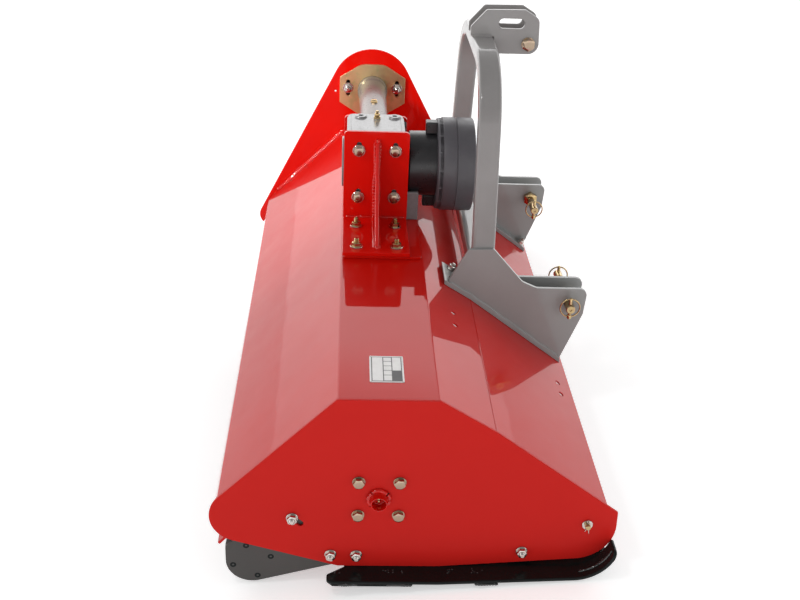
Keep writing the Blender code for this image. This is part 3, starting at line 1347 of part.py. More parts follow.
def make_top_link():
    front = ARCH_Y + ARCH_DEPTH / 2 + GAP
    seat = ARCH_TOP_Z + GAP
    corners = [(ARCH_Y + y, ARCH_TOP_Z + z, radius) for y, z, radius in TOP_LINK_REAR + TOP_LINK_FRONT]
    outline = rounded([(corners[0][0], seat, 0), *corners, (front, ARCH_TOP_Z + TOP_LINK_LOW, 0),
                       (front, seat, 0)], math.radians(30))
    holes = [slot(*TOP_LINK_SLOT, TOP_LINK_RADIUS, 6), circle(TOP_LINK_BOLT, TOP_BOLT_RADIUS + PLAY, SMALL)]
    offset = TOP_LINK_HALF - TOP_LINK_PLATE / 2
    plate = side_plate(outline, TOP_LINK_PLATE, holes)
    put("top_link_plate_right", plate, GREY_PAINT, (GEARBOX_X + offset, 0, 0))
    put("top_link_plate_left", plate, GREY_PAINT, (GEARBOX_X - offset, 0, 0))


def make_top_bolt():
    mesh = bolt_pin(TOP_BOLT_RADIUS, 2 * (TOP_LINK_HALF + 2 * GAP), TOP_BOLT_FLATS)
    put("top_link_bolt", mesh, ZINC_YELLOW, (GEARBOX_X, *TOP_LINK_BOLT))


def above_slope(y, height):
    """Z of a face that lies at a height above the front slope and folds with it."""
    return slope_height(y) + height / math.cos(slope_angle())


def off_slope(y, height):
    """Y and Z of a place square to the front slope, at a height above it."""
    angle = lean_at(y)
    return y + height * math.sin(angle), slope_height(y) + height * math.cos(angle)


def folded(front, rear, height):
    """Points along the front slope at a height above it, from the front past the crease to the rear."""
    crease = CREASE[0] - PLATE_PROUD / 2
    return [(y, above_slope(y, height)) for y in (front, crease, rear)]


def outboard_outline():
    """Clevis plate that rises behind to carry the hoop."""
    low = [(*point, 0) for point in folded(CLEVIS_FRONT_Y, CLEVIS_REAR_Y, GAP + BASE_FLANGE / 2)]
    rear = low[-1][1] + CLEVIS_REAR_RISE
    return rounded([*low, (CLEVIS_REAR_Y, rear, 0), *CLEVIS_TOP, *CLEVIS_NOSE])


def inboard_outline():
    """Lower clevis plate that starts at the cross tube."""
    rear = ARCH_Y + CROSS_TUBE / 2 + GAP
    low = GAP + BASE_FLANGE / 2
    return rounded([(CLEVIS_FRONT_Y, above_slope(CLEVIS_FRONT_Y, low), 0), (rear, above_slope(rear, low), 0),
                    (rear, CLEVIS_NOSE[0][1], 0), *CLEVIS_NOSE])


def lower_bracket_mesh(direction):
    """Clevis plates on a folded base flange that lies on the slope; direction points away from the middle."""
    holes = [circle((LINK_PIN_Y, LINK_PIN_Z), LINK_PIN + PLAY, MEDIUM)]
    offset = direction * (CLEVIS_HALF - CLEVIS_PLATE / 2)
    plates = [side_plate(outboard_outline(), CLEVIS_PLATE, holes, offset),
              side_plate(inboard_outline(), CLEVIS_PLATE, holes, -offset)]
    inner, outer = sorted((-direction * (CLEVIS_HALF + BASE_INWARD),
                           direction * (CLEVIS_HALF + BASE_OUTWARD)))
    low = folded(BASE_FRONT_Y, BASE_REAR_Y, GAP)
    high = folded(BASE_FRONT_Y, BASE_REAR_Y, GAP + BASE_FLANGE)
    base = side_plate(low + high[::-1], outer - inner, x=(inner + outer) / 2)
    stud = bolt(M12, BASE_FLANGE + SHEET + 2 * GAP, nut=True)
    upright = Matrix.Rotation(math.pi / 2, 4, 'Y')
    studs = []
    for x, y in BASE_BOLTS:
        square = Matrix.Rotation(-lean_at(y), 4, 'X') @ upright
        studs.append(moved(stud, direction * x, *off_slope(y, -SHEET - GAP), square))
    return union(base, *plates, joined(*studs))


def link_x(direction):
    return GEARBOX_X + direction * LINK_HALF_SPAN


def base_bolts():
    return [(link_x(direction) + direction * x, y) for direction in (-1, 1) for x, y in BASE_BOLTS]


def make_lower_brackets():
    put("lower_bracket_right", lower_bracket_mesh(1), GREY_PAINT, (link_x(1), 0, 0))
    put("lower_bracket_left", lower_bracket_mesh(-1), GREY_PAINT, (link_x(-1), 0, 0))


def ring_mesh(radius, wire, steps):
    """Closed ring of wire square to X."""
    section = []
    sides = 4
    for i in range(sides):
        angle = -2 * math.pi * i / sides
        section.append((radius + wire * math.cos(angle), wire * math.sin(angle)))
    return turned(section, steps, closed=True)


def linchpin():
    """Pin down through the link pin, with its sprung ring round it."""
    stem = rod(LINCH_RADIUS, -LINCH_DOWN, LINCH_RING, COARSE, Matrix())
    head = rod(LINCH_HEAD, LINCH_RING - LINCH_HEAD, LINCH_RING + LINCH_HEAD, COARSE, Matrix())
    return union(ring_mesh(LINCH_RING, LINCH_WIRE, SMALL), stem, head)


def link_pin_mesh(direction):
    """Link pin with a hexagon collar inside the clevis pair and a linchpin at each end."""
    inner = -direction * (CLEVIS_HALF + LINK_PIN_IN)
    outer = direction * (CLEVIS_HALF + LINK_PIN_OUT)
    bar = rod(LINK_PIN, *sorted((inner, outer)), MEDIUM)
    face = -direction * (CLEVIS_HALF + GAP)
    collar = rod(LINK_COLLAR, *sorted((face, face - direction * LINK_COLLAR_WIDTH)), 6)
    pin = linchpin()
    ends = (inner + direction * LINCH_INSET, outer - direction * LINCH_INSET)
    return union(bar, collar, *[moved(pin, end) for end in ends])


def make_link_pins():
    put("lower_pin_right", link_pin_mesh(1), ZINC_YELLOW, (link_x(1), LINK_PIN_Y, LINK_PIN_Z))
    put("lower_pin_left", link_pin_mesh(-1), ZINC_YELLOW, (link_x(-1), LINK_PIN_Y, LINK_PIN_Z))


def make_cross_tube():
    """Square tube between the feet of the hoop, open at its ends."""
    outer = CROSS_TUBE / 2
    inner = outer - CROSS_TUBE_WALL
    corner = CROSS_TUBE_CORNER
    outline = rounded([(-outer, -outer, corner), (outer, -outer, corner), (outer, outer, corner),
                       (-outer, outer, corner)], math.radians(45))
    hollow = [(-inner, -inner), (inner, -inner), (inner, inner), (-inner, inner)]
    length = 2 * (arch_leg_x() - ARCH_BAR - GAP)
    tube = side_plate(outline, length, [hollow])
    put("hitch_cross_tube", tube, GREY_PAINT, (GEARBOX_X, ARCH_Y, CROSS_TUBE_Z))


# Stance on the ground

def stance():
    """Angle between the machine's own frame and the ground, nose down."""
    run = SOLE_NOSE_Y - ROLLER_Y
    climb = NOSE_CENTRE_Z - ROLLER_Z
    return math.atan2(climb, run) + math.asin((ROLLER_RADIUS - SOLE_NOSE_RADIUS) / math.hypot(run, climb))


def stand_on_ground():
    """Rest the machine on its roller and skid noses, with the middle of its plan at the origin."""
    MACHINE.rotation_euler = (-stance(), 0, 0)
    bpy.context.view_layer.update()
    depsgraph = bpy.context.evaluated_depsgraph_get()
    low = Vector((1e9, 1e9, 1e9))
    high = -low
    for obj in PARTS.objects:
        if obj.type != 'MESH':
            continue
        shape = obj.evaluated_get(depsgraph)
        for vertex in shape.data.vertices:
            point = shape.matrix_world @ vertex.co
            low = Vector(map(min, low, point))
            high = Vector(map(max, high, point))
    MACHINE.location = (-(low.x + high.x) / 2, -(low.y + high.y) / 2, -low.z)
    bpy.context.view_layer.update()


clear_scene()
PARTS = new_collection("tractor_mulcher")
CUTTERS = new_collection("cutters")
MACHINE = new_empty("machine", (0, 0, 0))

RED = material("red_paint", (0.56, 0.015, 0.012), 0.30, 0.0)
GREY_PAINT = material("grey_paint", (0.25, 0.235, 0.225), 0.45, 0.0)
DARK_GREY = material("dark_grey_paint", (0.07, 0.066, 0.062), 0.50, 0.0)
GREY_CAST = material("grey_cast_iron", (0.45, 0.43, 0.42), 0.55, 0.3)
GLOSS_BLACK = material("gloss_black_paint", (0.006, 0.006, 0.007), 0.15, 0.0)
BLACK = material("black_plastic", (0.025, 0.024, 0.025), 0.45, 0.0)
ZINC = material("bright_zinc", (0.62, 0.60, 0.56), 0.30, 1.0)
ZINC_YELLOW = material("yellow_zinc", (0.55, 0.38, 0.15), 0.32, 1.0)
STEEL = material("machined_steel", (0.55, 0.54, 0.52), 0.30, 1.0)
CAST = material("dark_cast_iron", (0.10, 0.10, 0.10), 0.55, 0.6)
RUBBER = material("belt_rubber", (0.015, 0.015, 0.015), 0.80, 0.0)

ROTOR_AXIS = new_empty("rotor_axis", (0, 0, ROTOR_Z), MACHINE)
ROTOR_AXIS.rotation_euler = (stance(), 0, 0)
CROSS_AXIS = new_empty("cross_axis", (GEARBOX_X, 0, DRIVE_Z), MACHINE)
INPUT_AXIS = new_empty("input_axis", (GEARBOX_X, 0, DRIVE_Z), MACHINE)
ROLLER_AXIS = new_empty("roller_axis", (roller_middle(), ROLLER_Y, ROLLER_Z), MACHINE)

make_hood()
make_doubler()
make_end_plates()
make_scraper()
make_belt_cover()
make_gearbox()
make_rear_cap()
make_brackets()
make_shaft_tube()
make_shafts(INPUT_AXIS, CROSS_AXIS)
make_belt_drive(ROTOR_AXIS, CROSS_AXIS)
make_guard()
make_rotor(ROTOR_AXIS)
make_hammers(ROTOR_AXIS)
make_bearings()
make_roller_arms()
make_roller(ROLLER_AXIS)
make_skids()
make_flaps()
make_arch()
make_top_link()
make_top_bolt()
make_lower_brackets()
make_link_pins()
make_cross_tube()
stand_on_ground()
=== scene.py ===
import json
import math
import random

import bmesh
import bpy
from mathutils import Matrix, Vector


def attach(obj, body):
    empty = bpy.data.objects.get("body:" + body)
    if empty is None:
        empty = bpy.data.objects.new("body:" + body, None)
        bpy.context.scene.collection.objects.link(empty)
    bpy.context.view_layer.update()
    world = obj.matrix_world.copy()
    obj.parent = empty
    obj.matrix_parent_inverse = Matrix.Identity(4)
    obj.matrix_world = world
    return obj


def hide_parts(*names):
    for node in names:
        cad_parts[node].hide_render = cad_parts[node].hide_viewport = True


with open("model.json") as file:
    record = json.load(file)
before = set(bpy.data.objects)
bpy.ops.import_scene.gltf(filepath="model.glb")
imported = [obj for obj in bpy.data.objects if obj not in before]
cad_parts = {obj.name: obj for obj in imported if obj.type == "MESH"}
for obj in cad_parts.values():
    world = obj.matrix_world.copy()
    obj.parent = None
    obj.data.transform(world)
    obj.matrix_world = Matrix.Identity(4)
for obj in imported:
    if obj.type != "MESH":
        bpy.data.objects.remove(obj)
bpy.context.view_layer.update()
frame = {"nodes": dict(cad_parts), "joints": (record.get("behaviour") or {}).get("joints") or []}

# The photograph's camera, in the machine's own frame: X to its right, Y forward, Z up, in metres and radians
IMAGE_WIDTH = 800
FOCAL_PIXELS = 1116.05
SENSOR_WIDTH = 36.0
CAMERA_PLACE = Vector((2.6327, -0.0827, 1.6083))
CAMERA_PITCH = 0.480883
CAMERA_YAW = 0.058472
CAMERA_ROLL = 0.046243

# The studio: floor, and light levels as shares of the world's strength, by height on the far wall and all
# round the rest of the room. The wall takes over where a direction's X falls through the spread.
FLOOR_GLOW = 0.46
FLOOR_TONES = (0.93, 0.915)
WORLD_STRENGTH = 2.5
WALL_SPREAD = (-0.55, 0.05)
WALL_LIGHT = ((0.0, 0.60), (0.14, 0.86), (0.38, 1.0), (0.50, 1.15), (0.62, 0.20))
ROOM_LIGHT = ((0.0, 0.68), (0.22, 0.66), (0.30, 0.30), (0.62, 0.14))

# Clearances
GAP = 0.0003
PLAY = 0.0005
MERGE = 0.00001
FLAT_ANGLE = 0.001

# Housing: the end plates' faces, their thickness and the hood's sheet
RIGHT_X = 0.800
LEFT_X = -0.800
PLATE = 0.006
SHEET = 0.004
PLATE_PROUD = 0.003
HOOD_BEND = 0.004
CUTTER_REACH = 0.03

# Side view of the housing, in Y and Z
TOP_Z = 0.4285
TOP_REAR_Y = -0.089
TOP_FRONT_Y = 0.115
CREASE = (0.232, 0.3565)
NOSE_TIP = (0.4995, 0.1605)
NOSE_CORNER = (0.503, 0.045)
NOSE_RADIUS = 0.085
BOTTOM_Z = 0.014
BOTTOM_FRONT_Y = 0.130
BOTTOM_REAR_Y = -0.082
REAR_CORNER = (-0.405, 0.111)
REAR_RADIUS = 0.065
HOOD_LIP = (-0.342, 0.135)
LIP_WIDTH = 0.012
HOOD_FRONT = (0.4775, 0.1723)
EDGE_RADIUS = 0.006

# The left end plate rises to carry the drive
DRIVE_Z = 0.562
DRIVE_TOP_CORNER = (-0.005, DRIVE_Z + 0.273)
DRIVE_TOP_RADIUS = 0.1245
DRIVE_FRONT_FOOT = (0.2636, 0.3333)
LEFT_REAR_CORNER = (-0.378, 0.103)
LEFT_REAR_RADIUS = 0.040
PLATE_HOLE = (-0.116, 0.5545)
PLATE_HOLE_RADIUS = 0.003

# Rotor bearings
ROTOR_Z = 0.1915
ROTOR_SHAFT = 0.0175
BEARING_SIDE = 0.115
BEARING_CORNER = 0.020
BEARING_FLANGE = 0.012
BEARING_BOSS = 0.044
BEARING_DEPTH = 0.030
BEARING_BOLT_OFFSET = 0.0417
BEARING_CAP = 0.0215
BEARING_CAP_REACH = 0.022
CAP_DEPTH = 0.022
CAP_MOUTH = 0.0168
CAP_LIP = 0.0018
NIPPLE = 0.0035
NIPPLE_HEX = (0.0087, 0.003)
NIPPLE_REACH = 0.010

# Gearbox and drive shafts
GEARBOX_X = -0.157
GEARBOX_HALF = 0.0807
GEARBOX_REAR_Y = -0.078
GEARBOX_FRONT_Y = 0.072
GEARBOX_LOW_Z = DRIVE_Z - 0.084
GEARBOX_HIGH_Z = DRIVE_Z + 0.106
GEARBOX_WALL = 0.013
GEARBOX_FOOT_Y = 0.1115
GEARBOX_FOOT_FALL = 0.052
INPUT_NECK = 0.055
INPUT_NECK_Y = 0.0937
INPUT_SHAFT = 0.0175
INPUT_SHAFT_Y = 0.172
OUTPUT_NECK = 0.040
OUTPUT_NECK_REACH = 0.025
CROSS_SHAFT = 0.015
SPLINES = 6
SPLINE_DEPTH_SHARE = 0.16
SPLINE_TIP_SHARE = 0.21
SPLINE_FOOT_SHARE = 0.27
GEARBOX_CORNER = 0.020
REAR_CAP = 0.066
REAR_CAP_THICKNESS = 0.0117
REAR_BORE = 0.057
REAR_SPIGOT = 0.004
TOP_BOSS = 0.013
TOP_BOSSES = ((-0.045, -0.042), (-0.045, 0.047), (0.058, -0.044), (0.058, 0.045))
BREATHER = (-0.032, 0.0)
BREATHER_RADIUS = 0.009
BREATHER_HEIGHT = 0.022
GEARBOX_PLUG = (0.050, 0.088)

# Gearbox brackets and the raised plate that they stand on
DOUBLER = 0.006
DOUBLER_CORNER = 0.010
DOUBLER_REAR_Y = -0.083
DOUBLER_FRONT_Y = 0.111
BRACKET = 0.010
BRACKET_REAR_Y = -0.085
BRACKET_FRONT_Y = 0.082
BRACKET_TOP_Z = DRIVE_Z + 0.114
LEFT_BRACKET_DROP = 0.016
BRACKET_CORNER = 0.010
FOOT_REACH = 0.230
RIB_TOP_Z = BRACKET_TOP_Z - 0.025
RIB_REACH = 0.205
RIB_CLEAR = 0.004
SIDE_BOLT_Y = 0.0465
SIDE_BOLT_Z = 0.0635
SIDE_SLOT_RISE = 0.016
FOOT_BOLT_Y = 0.0495
FOOT_BOLT_NEAR = 0.069
FOOT_BOLT_FAR = 0.195

# Shaft tube with its flange, and belt cover
TUBE_NARROW = 0.036
TUBE_WIDE = 0.046
TUBE_BORE = 0.028
TUBE_STRAIGHT = 0.030
PLUG_X = -0.545
FLANGE = 0.008
FLANGE_HALF_Y = 0.1025
FLANGE_SIDE_Z = 0.040
FLANGE_TOP_Y = 0.036
FLANGE_TOP_Z = 0.0825
FLANGE_BOLT_Y = 0.0765
FLANGE_BOLT_Z = 0.007
FLANGE_SLOT_HALF = 0.019
COVER_DEPTH = 0.100
COVER_WALL = 0.002
COVER_EDGE = 0.012
COVER_TOP_RADIUS = 0.104
COVER_LOW_RADIUS = 0.115
COVER_EAR = 0.016
COVER_EAR_THICKNESS = 0.003
COVER_EARS = ((-0.124, 0.360), (0.124, 0.360), (0.0, 0.068))

# Guard round the drive shaft
COLLAR_RADIUS = 0.085
COLLAR_FRONT_Y = 0.162
COLLAR_HOLE = 0.030
SKIRT_Y = 0.0845
DRUM_RADIUS = 0.1225
DRUM_REAR_Y = 0.157
DRUM_FRONT_Y = 0.253
GUARD_WALL = 0.003
GUARD_LIP = 0.010
GUARD_RIBS = 16
LATCH_WIDTH = 0.030
LATCH_REAR_Y = 0.127
LATCH_TOP = 0.117

# Rear roller, its arm plates and the scraper
ROLLER_Y = -0.262
ROLLER_Z = 0.021
ROLLER_RADIUS = 0.060
ROLLER_END_GAP = 0.040
ROLLER_HALF = (RIGHT_X - PLATE - LEFT_X) / 2 - ROLLER_END_GAP
ROLLER_STUB = 0.015
ROLLER_STUB_REACH = 0.024
ARM_END_RADIUS = 0.055
ARM_FALL = math.radians(16.1)
ARM_FRONT_Y = -0.078
ARM_TOP_CORNERS = ((ARM_FRONT_Y, 0.062, 0.012), (-0.150, 0.170, 0.020), (-0.205, 0.170, 0.020))
ARM_REAR_Z = 0.058
ARM_CORNER = 0.010
ARM_BOLTS = ((-0.097, 0.0455), (-0.177, 0.1405))
ARM_SLOT_END = (-0.160, 0.1255)
ROLLER_BEARING_RADIUS = 0.052
ROLLER_BEARING_FLANGE = 0.006
ROLLER_BEARING_BOSS = 0.028
ROLLER_BEARING_DEPTH = 0.012
ROLLER_BOLT_CIRCLE = 0.0413
ROLLER_BOLT_ANGLE = math.radians(16)
SCRAPER_WIDTH = 0.045
SCRAPER_THICKNESS = 0.006
SCRAPER_Y = -0.315
SCRAPER_Z = 0.083
SCRAPER_LEAN = math.radians(-42)

# Skids
SOLE = 0.008
SOLE_IN = 0.030
SOLE_OUT = 0.050
SOLE_REAR_OUT_Y = -0.105
SOLE_REAR_IN_Y = -0.068
SOLE_RISE = math.radians(2.87)
SOLE_NOSE_Y = 0.408
SOLE_NOSE_RADIUS = 0.094
SOLE_NOSE_TURN = math.radians(76)
SOLE_NOSE_IN_Z = 0.060
SOLE_CORNER = 0.012
SOLE_NOSE_CORNER = 0.016
SOLE_CUT = 0.050
WEAR_STRIP = 0.0054
WEAR_STRIP_FRONT_Y = 0.075
WEAR_STRIP_INSET = 0.001
WEAR_STRIP_IN = 0.010
WEAR_STRIP_CORNER = 0.015
EAR_REAR = (-0.068, -0.018)
EAR_FRONT = (0.281, 0.331)
SKID_BOLTS = ((-0.043, 0.0445), (0.306, 0.0575))
SKID_EAR_TOP = 0.022
SKID_EAR_CORNER = 0.012

# Hinge rod of the front flaps
FLAP_ROD_Y = 0.438
FLAP_ROD_Z = 0.1295
FLAP_ROD = 0.006
FLAP_ROD_OVERHANG = 0.013
SPLIT_PIN = 0.0015
SPLIT_PIN_DOWN = 0.018

# Hitch: hoop, top-link plates, lower brackets and their pins
ARCH_Y = 0.255
ARCH_DEPTH = 0.054
ARCH_BAR = 0.038
ARCH_TOP_Z = 0.9125
ARCH_BEND = 0.190
ARCH_FLAT = 0.120
ARCH_LEAN = math.radians(13)
ARCH_EDGE = 0.008
LINK_HALF_SPAN = 0.3415
CLEVIS_HALF = 0.0359
CLEVIS_PLATE = 0.010
CLEVIS_REAR_Y = 0.176
CLEVIS_REAR_RISE = 0.012
CLEVIS_TOP = ((0.219, 0.4870, 0.004), (0.279, 0.4885, 0.006), (0.355, 0.4030, 0.020), (0.392, 0.3865, 0.030))
CLEVIS_NOSE = ((0.518, 0.3865, 0.018), (0.513, 0.3180, 0.020))
CLEVIS_FRONT_Y = 0.466
TOP_LINK_HALF = 0.0305
TOP_LINK_PLATE = 0.008
TOP_LINK_REAR = ((-0.031, 0.024, 0.006), (0.006, 0.066, 0.010), (0.102, 0.068, 0))
TOP_LINK_FRONT = ((0.139, 0.046, 0.020), (0.143, -0.042, 0.026))
TOP_LINK_LOW = -0.043
TOP_LINK_BOLT = (ARCH_Y + 0.115, ARCH_TOP_Z - 0.0165)
TOP_LINK_SLOT = ((ARCH_Y + 0.0505, ARCH_TOP_Z + 0.033), (ARCH_Y + 0.0905, ARCH_TOP_Z + 0.033))
TOP_LINK_RADIUS = 0.0125
TOP_BOLT_RADIUS = 0.009
TOP_BOLT_FLATS = 0.030
LINK_PIN_Y = 0.4745
LINK_PIN_Z = 0.345
LINK_PIN = 0.011
LINK_PIN_OUT = 0.032
LINK_PIN_IN = 0.100
LINK_COLLAR = 0.021
LINK_COLLAR_WIDTH = 0.016
BASE_FLANGE = 0.010
BASE_REAR_Y = 0.164
BASE_FRONT_Y = 0.468
BASE_INWARD = 0.028
BASE_OUTWARD = 0.004
BASE_BOLTS = ((-0.047, 0.180), (0.012, 0.180), (-0.051, 0.4485), (0.0, 0.4485))
LINCH_RADIUS = 0.004
LINCH_RING = 0.024
LINCH_WIRE = 0.0018
LINCH_DOWN = 0.027
LINCH_HEAD = 0.006
LINCH_INSET = 0.012
CROSS_TUBE = 0.045
CROSS_TUBE_WALL = 0.005
CROSS_TUBE_CORNER = 0.006
CROSS_TUBE_Z = 0.3985

# Spare hitch holes beside the right lower bracket: X and Y
SPARE_HOLES = ((0.354, 0.176), (0.413, 0.176), (0.350, 0.442), (0.401, 0.442))
SPARE_HOLE = 0.007

# Fasteners: shank radius and width across flats
M10 = (0.005, 0.017)
M12 = (0.006, 0.019)
FLANGE_NUT = (0.007, 0.0225)
WASHER_THICKNESS = 0.0025
# Their sizes as shares of the shank's radius or the width across flats
HEAD_HEIGHT = 1.3
NUT_HEIGHT = 1.6
WASHER_SHARE = 0.62
CROWN_SHARE = 0.84
THREAD_PITCH = 0.00175
THREAD_DEPTH = 0.55

# Heads that aren't of the usual size: width across flats, height and, for a nut, bore
BEARING_HEAD = (0.0205, 0.0095)
BEARING_HEAD_LIFT = 0.002
SIDE_HEAD = (0.0225, 0.009)
FOOT_NUT = (0.021, 0.010, 0.006)
# Washers: outer and inner radius, thickness
BEARING_SEAT = (0.0134, 0.007, 0.0024)
SIDE_WASHER = (0.0162, 0.007, WASHER_THICKNESS)
FOOT_WASHER = (0.0160, 0.006, WASHER_THICKNESS)
# Stud through a bracket's foot: radius, start and end
FOOT_STUD = (0.0062, WASHER_THICKNESS, 0.0215)

# Weld beads: radius and length of one ripple
BEADS = {
    "hood": (0.0022, 0.0028),
    "drive_plate": (0.0085, 0.012),
    "bearing_cap": (0.0052, 0.011),
    "rib_wall": (0.0048, 0.009),
    "rib_foot": (0.0050, 0.009),
    "rib_top": (0.0062, 0.008),
    "rib_end": (0.0055, 0.008),
    "bracket_foot": (0.0036, 0.0045),
    "roller_disc": (0.0026, 0.004),
    "roller_stub": (0.0028, 0.004),
    "wear_strip": (0.0034, 0.005),
    "sole_edge": (0.003, 0.006),
    "spatter": (0.0017, 0.004),
    "skid_nose": (0.0028, 0.009),
    "hoop": (0.003, 0.005),
    "cross_tube": (0.0032, 0.005),
    "top_link": (0.0034, 0.0055),
    "clevis": (0.0032, 0.0050),
}
# Where beads lie: in from an end plate, above a sheet, and their ends
HOOD_BEAD_IN = 0.001
HOOD_SEAM = 0.0024
DRIVE_BEAD_IN = 0.003
DRIVE_BEAD_LIFT = 0.001
DRIVE_BEAD_Y = (-0.300, -0.200)
BEAD_LIFT = 0.0006
HOOP_BEAD_TOP_Z = 0.470
# Spatter on the skids: middle, half of the spread and number of each group, then X and half the length of one
SPATTER = ((-0.085, 0.012, 4), (0.022, 0.014, 7), (0.052, 0.003, 2), (0.165, 0.016, 7), (0.212, 0.012, 6))
SPATTER_X = (0.010, 0.024)
SPATTER_HALF = 0.0015

# Middle of the data plate on the deck
DATA_PLATE = (0.6765, 0.011)

# Sides of round outlines
FINE = 64
MEDIUM = 48
SMALL = 32
COARSE = 24

# Values that follow from the ones above
PLATE_INNER_X = RIGHT_X - PLATE
LEFT_OUTER_X = LEFT_X - PLATE
MIDDLE_X = (PLATE_INNER_X + LEFT_X) / 2
HOOD_TOP_Z = TOP_Z - PLATE_PROUD
DOUBLER_LOW_Z = HOOD_TOP_Z + GAP
FOOT_LOW_Z = DOUBLER_LOW_Z + DOUBLER + GAP
FOOT_TOP_Z = FOOT_LOW_Z + BRACKET
DOUBLER_HALF_X = GEARBOX_HALF + GAP + FOOT_REACH
SOLE_TOP_Z = BOTTOM_Z - GAP
SOLE_LOW_Z = SOLE_TOP_Z - SOLE
NOSE_CENTRE_Z = (SOLE_LOW_Z + (SOLE_NOSE_Y - BOTTOM_FRONT_Y) * math.tan(SOLE_RISE) + SOLE_NOSE_RADIUS)
TUBE_END_X = LEFT_X + GAP
TUBE_START_X = GEARBOX_X - GEARBOX_HALF - OUTPUT_NECK_REACH - GAP
ROLLER_SPAN = ROLLER_HALF + ROLLER_STUB_REACH
ARM_X = PLATE_INNER_X - GAP - PLATE / 2

SIDE_VIEW = Matrix(((0, 0, 1, 0), (1, 0, 0, 0), (0, 1, 0, 0), (0, 0, 0, 1)))
ALONG_X = Matrix.Rotation(math.pi / 2, 4, 'Y')
ALONG_Y = Matrix.Rotation(-math.pi / 2, 4, 'X')


# Mesh tools

def shown(obj):
    """Link a new object into the scene."""
    bpy.context.scene.collection.objects.link(obj)
    return obj


def temporary(data):
    return shown(bpy.data.objects.new("temporary", data))


def mesh_of(shape):
    """Mesh of a bmesh, which is freed."""
    mesh = bpy.data.meshes.new("shape")
    shape.to_mesh(mesh)
    shape.free()
    return mesh


def baked(obj):
    """Evaluated mesh of a temporary object, welded, with its faces pointing out."""
    bpy.context.view_layer.update()
    depsgraph = bpy.context.evaluated_depsgraph_get()
    mesh = bpy.data.meshes.new_from_object(obj.evaluated_get(depsgraph))
    bpy.data.objects.remove(obj)
    shape = bmesh.new()
    shape.from_mesh(mesh)
    bmesh.ops.remove_doubles(shape, verts=shape.verts, dist=MERGE)
    bmesh.ops.dissolve_limit(shape, angle_limit=FLAT_ANGLE, verts=shape.verts, edges=shape.edges)
    bmesh.ops.recalc_face_normals(shape, faces=shape.faces)
    shape.to_mesh(mesh)
    shape.free()
    return mesh


def moved(mesh, x=0.0, y=0.0, z=0.0, turn=None):
    """Copy of a mesh, turned and then moved."""
    copy = mesh.copy()
    copy.transform(Matrix.Translation((x, y, z)) @ (turn or Matrix()))
    return copy


def joined(*meshes):
    """One mesh of several bodies that stay separate."""
    shape = bmesh.new()
    for mesh in meshes:
        shape.from_mesh(mesh)
    return mesh_of(shape)


def mirrored(mesh):
    """Copy mirrored across X, with its faces still pointing out."""
    shape = bmesh.new()
    shape.from_mesh(mesh)
    bmesh.ops.scale(shape, vec=(-1, 1, 1), verts=shape.verts)
    bmesh.ops.reverse_faces(shape, faces=shape.faces)
    return mesh_of(shape)


def cut(base, *tools):
    """Mesh with the shapes of the tools taken out of it."""
    body = temporary(base)
    helpers = [temporary(tool) for tool in tools]
    for helper in helpers:
        change = body.modifiers.new("cut", 'BOOLEAN')
        change.operation = 'DIFFERENCE'
        change.object = helper
    result = baked(body)
    for helper in helpers:
        bpy.data.objects.remove(helper)
    return result


def box(low, high):
    shape = bmesh.new()
    size = [b - a for a, b in zip(low, high)]
    centre = [(a + b) / 2 for a, b in zip(low, high)]
    bmesh.ops.create_cube(shape, size=1, matrix=Matrix.Translation(centre) @ Matrix.Diagonal((*size, 1)))
    return mesh_of(shape)


def rod(radius, start, end, sides=SMALL, axis=ALONG_X):
    """Round bar along X, or along another axis, from one position to another on it."""
    shape = bmesh.new()
    bmesh.ops.create_cone(shape, cap_ends=True, segments=sides, radius1=radius, radius2=radius,
                          depth=end - start)
    bar = mesh_of(shape)
    bar.transform(axis @ Matrix.Translation((0, 0, (start + end) / 2)))
    return bar


def turned(profile, steps, axis=ALONG_X, closed=False):
    """Turned shape from a profile of (radius, height), run down its outer side."""
    mesh = bpy.data.meshes.new("profile")
    edges = [(i, i + 1) for i in range(len(profile) - 1)]
    if closed:
        edges.append((len(profile) - 1, 0))
    mesh.from_pydata([(radius, 0, height) for radius, height in profile], edges, [])
    obj = temporary(mesh)
    screw = obj.modifiers.new("turn", 'SCREW')
    screw.steps = steps
    screw.render_steps = steps
    screw.use_merge_vertices = True
    screw.merge_threshold = MERGE
    result = baked(obj)
    result.transform(axis)
    return result


def flat_solid(outline, thickness, holes=()):
    """Flat outline with holes, as a solid centred on its own plane."""
    curve = bpy.data.curves.new("outline", 'CURVE')
    curve.dimensions = '2D'
    curve.fill_mode = 'BOTH'
    curve.extrude = thickness / 2
    for ring_points in (outline, *holes):
        spline = curve.splines.new('POLY')
        spline.points.add(len(ring_points) - 1)
        for point, place in zip(spline.points, ring_points):
            point.co = (place[0], place[1], 0, 1)
        spline.use_cyclic_u = True
    return baked(temporary(curve))


def side_plate(outline, thickness, holes=(), x=0.0):
    """Plate square to X, from an outline in Y and Z."""
    plate = flat_solid(outline, thickness, holes)
    plate.transform(Matrix.Translation((x, 0, 0)) @ SIDE_VIEW)
    return plate


def loft(rings, closed=False):
    """Skin through rings of points with one count, capped at both ends unless it closes on itself."""
    shape = bmesh.new()
    rows = [[shape.verts.new(point) for point in ring_points] for ring_points in rings]
    pairs = list(zip(rows, rows[1:]))
    if closed:
        pairs.append((rows[-1], rows[0]))
    count = len(rings[0])
    for first, second in pairs:
        for i in range(count):
            shape.faces.new((first[i], first[(i + 1) % count], second[(i + 1) % count], second[i]))
    if not closed:
        shape.faces.new(rows[0])
        shape.faces.new(rows[-1])
    bmesh.ops.recalc_face_normals(shape, faces=shape.faces)
    return mesh_of(shape)


# Outlines

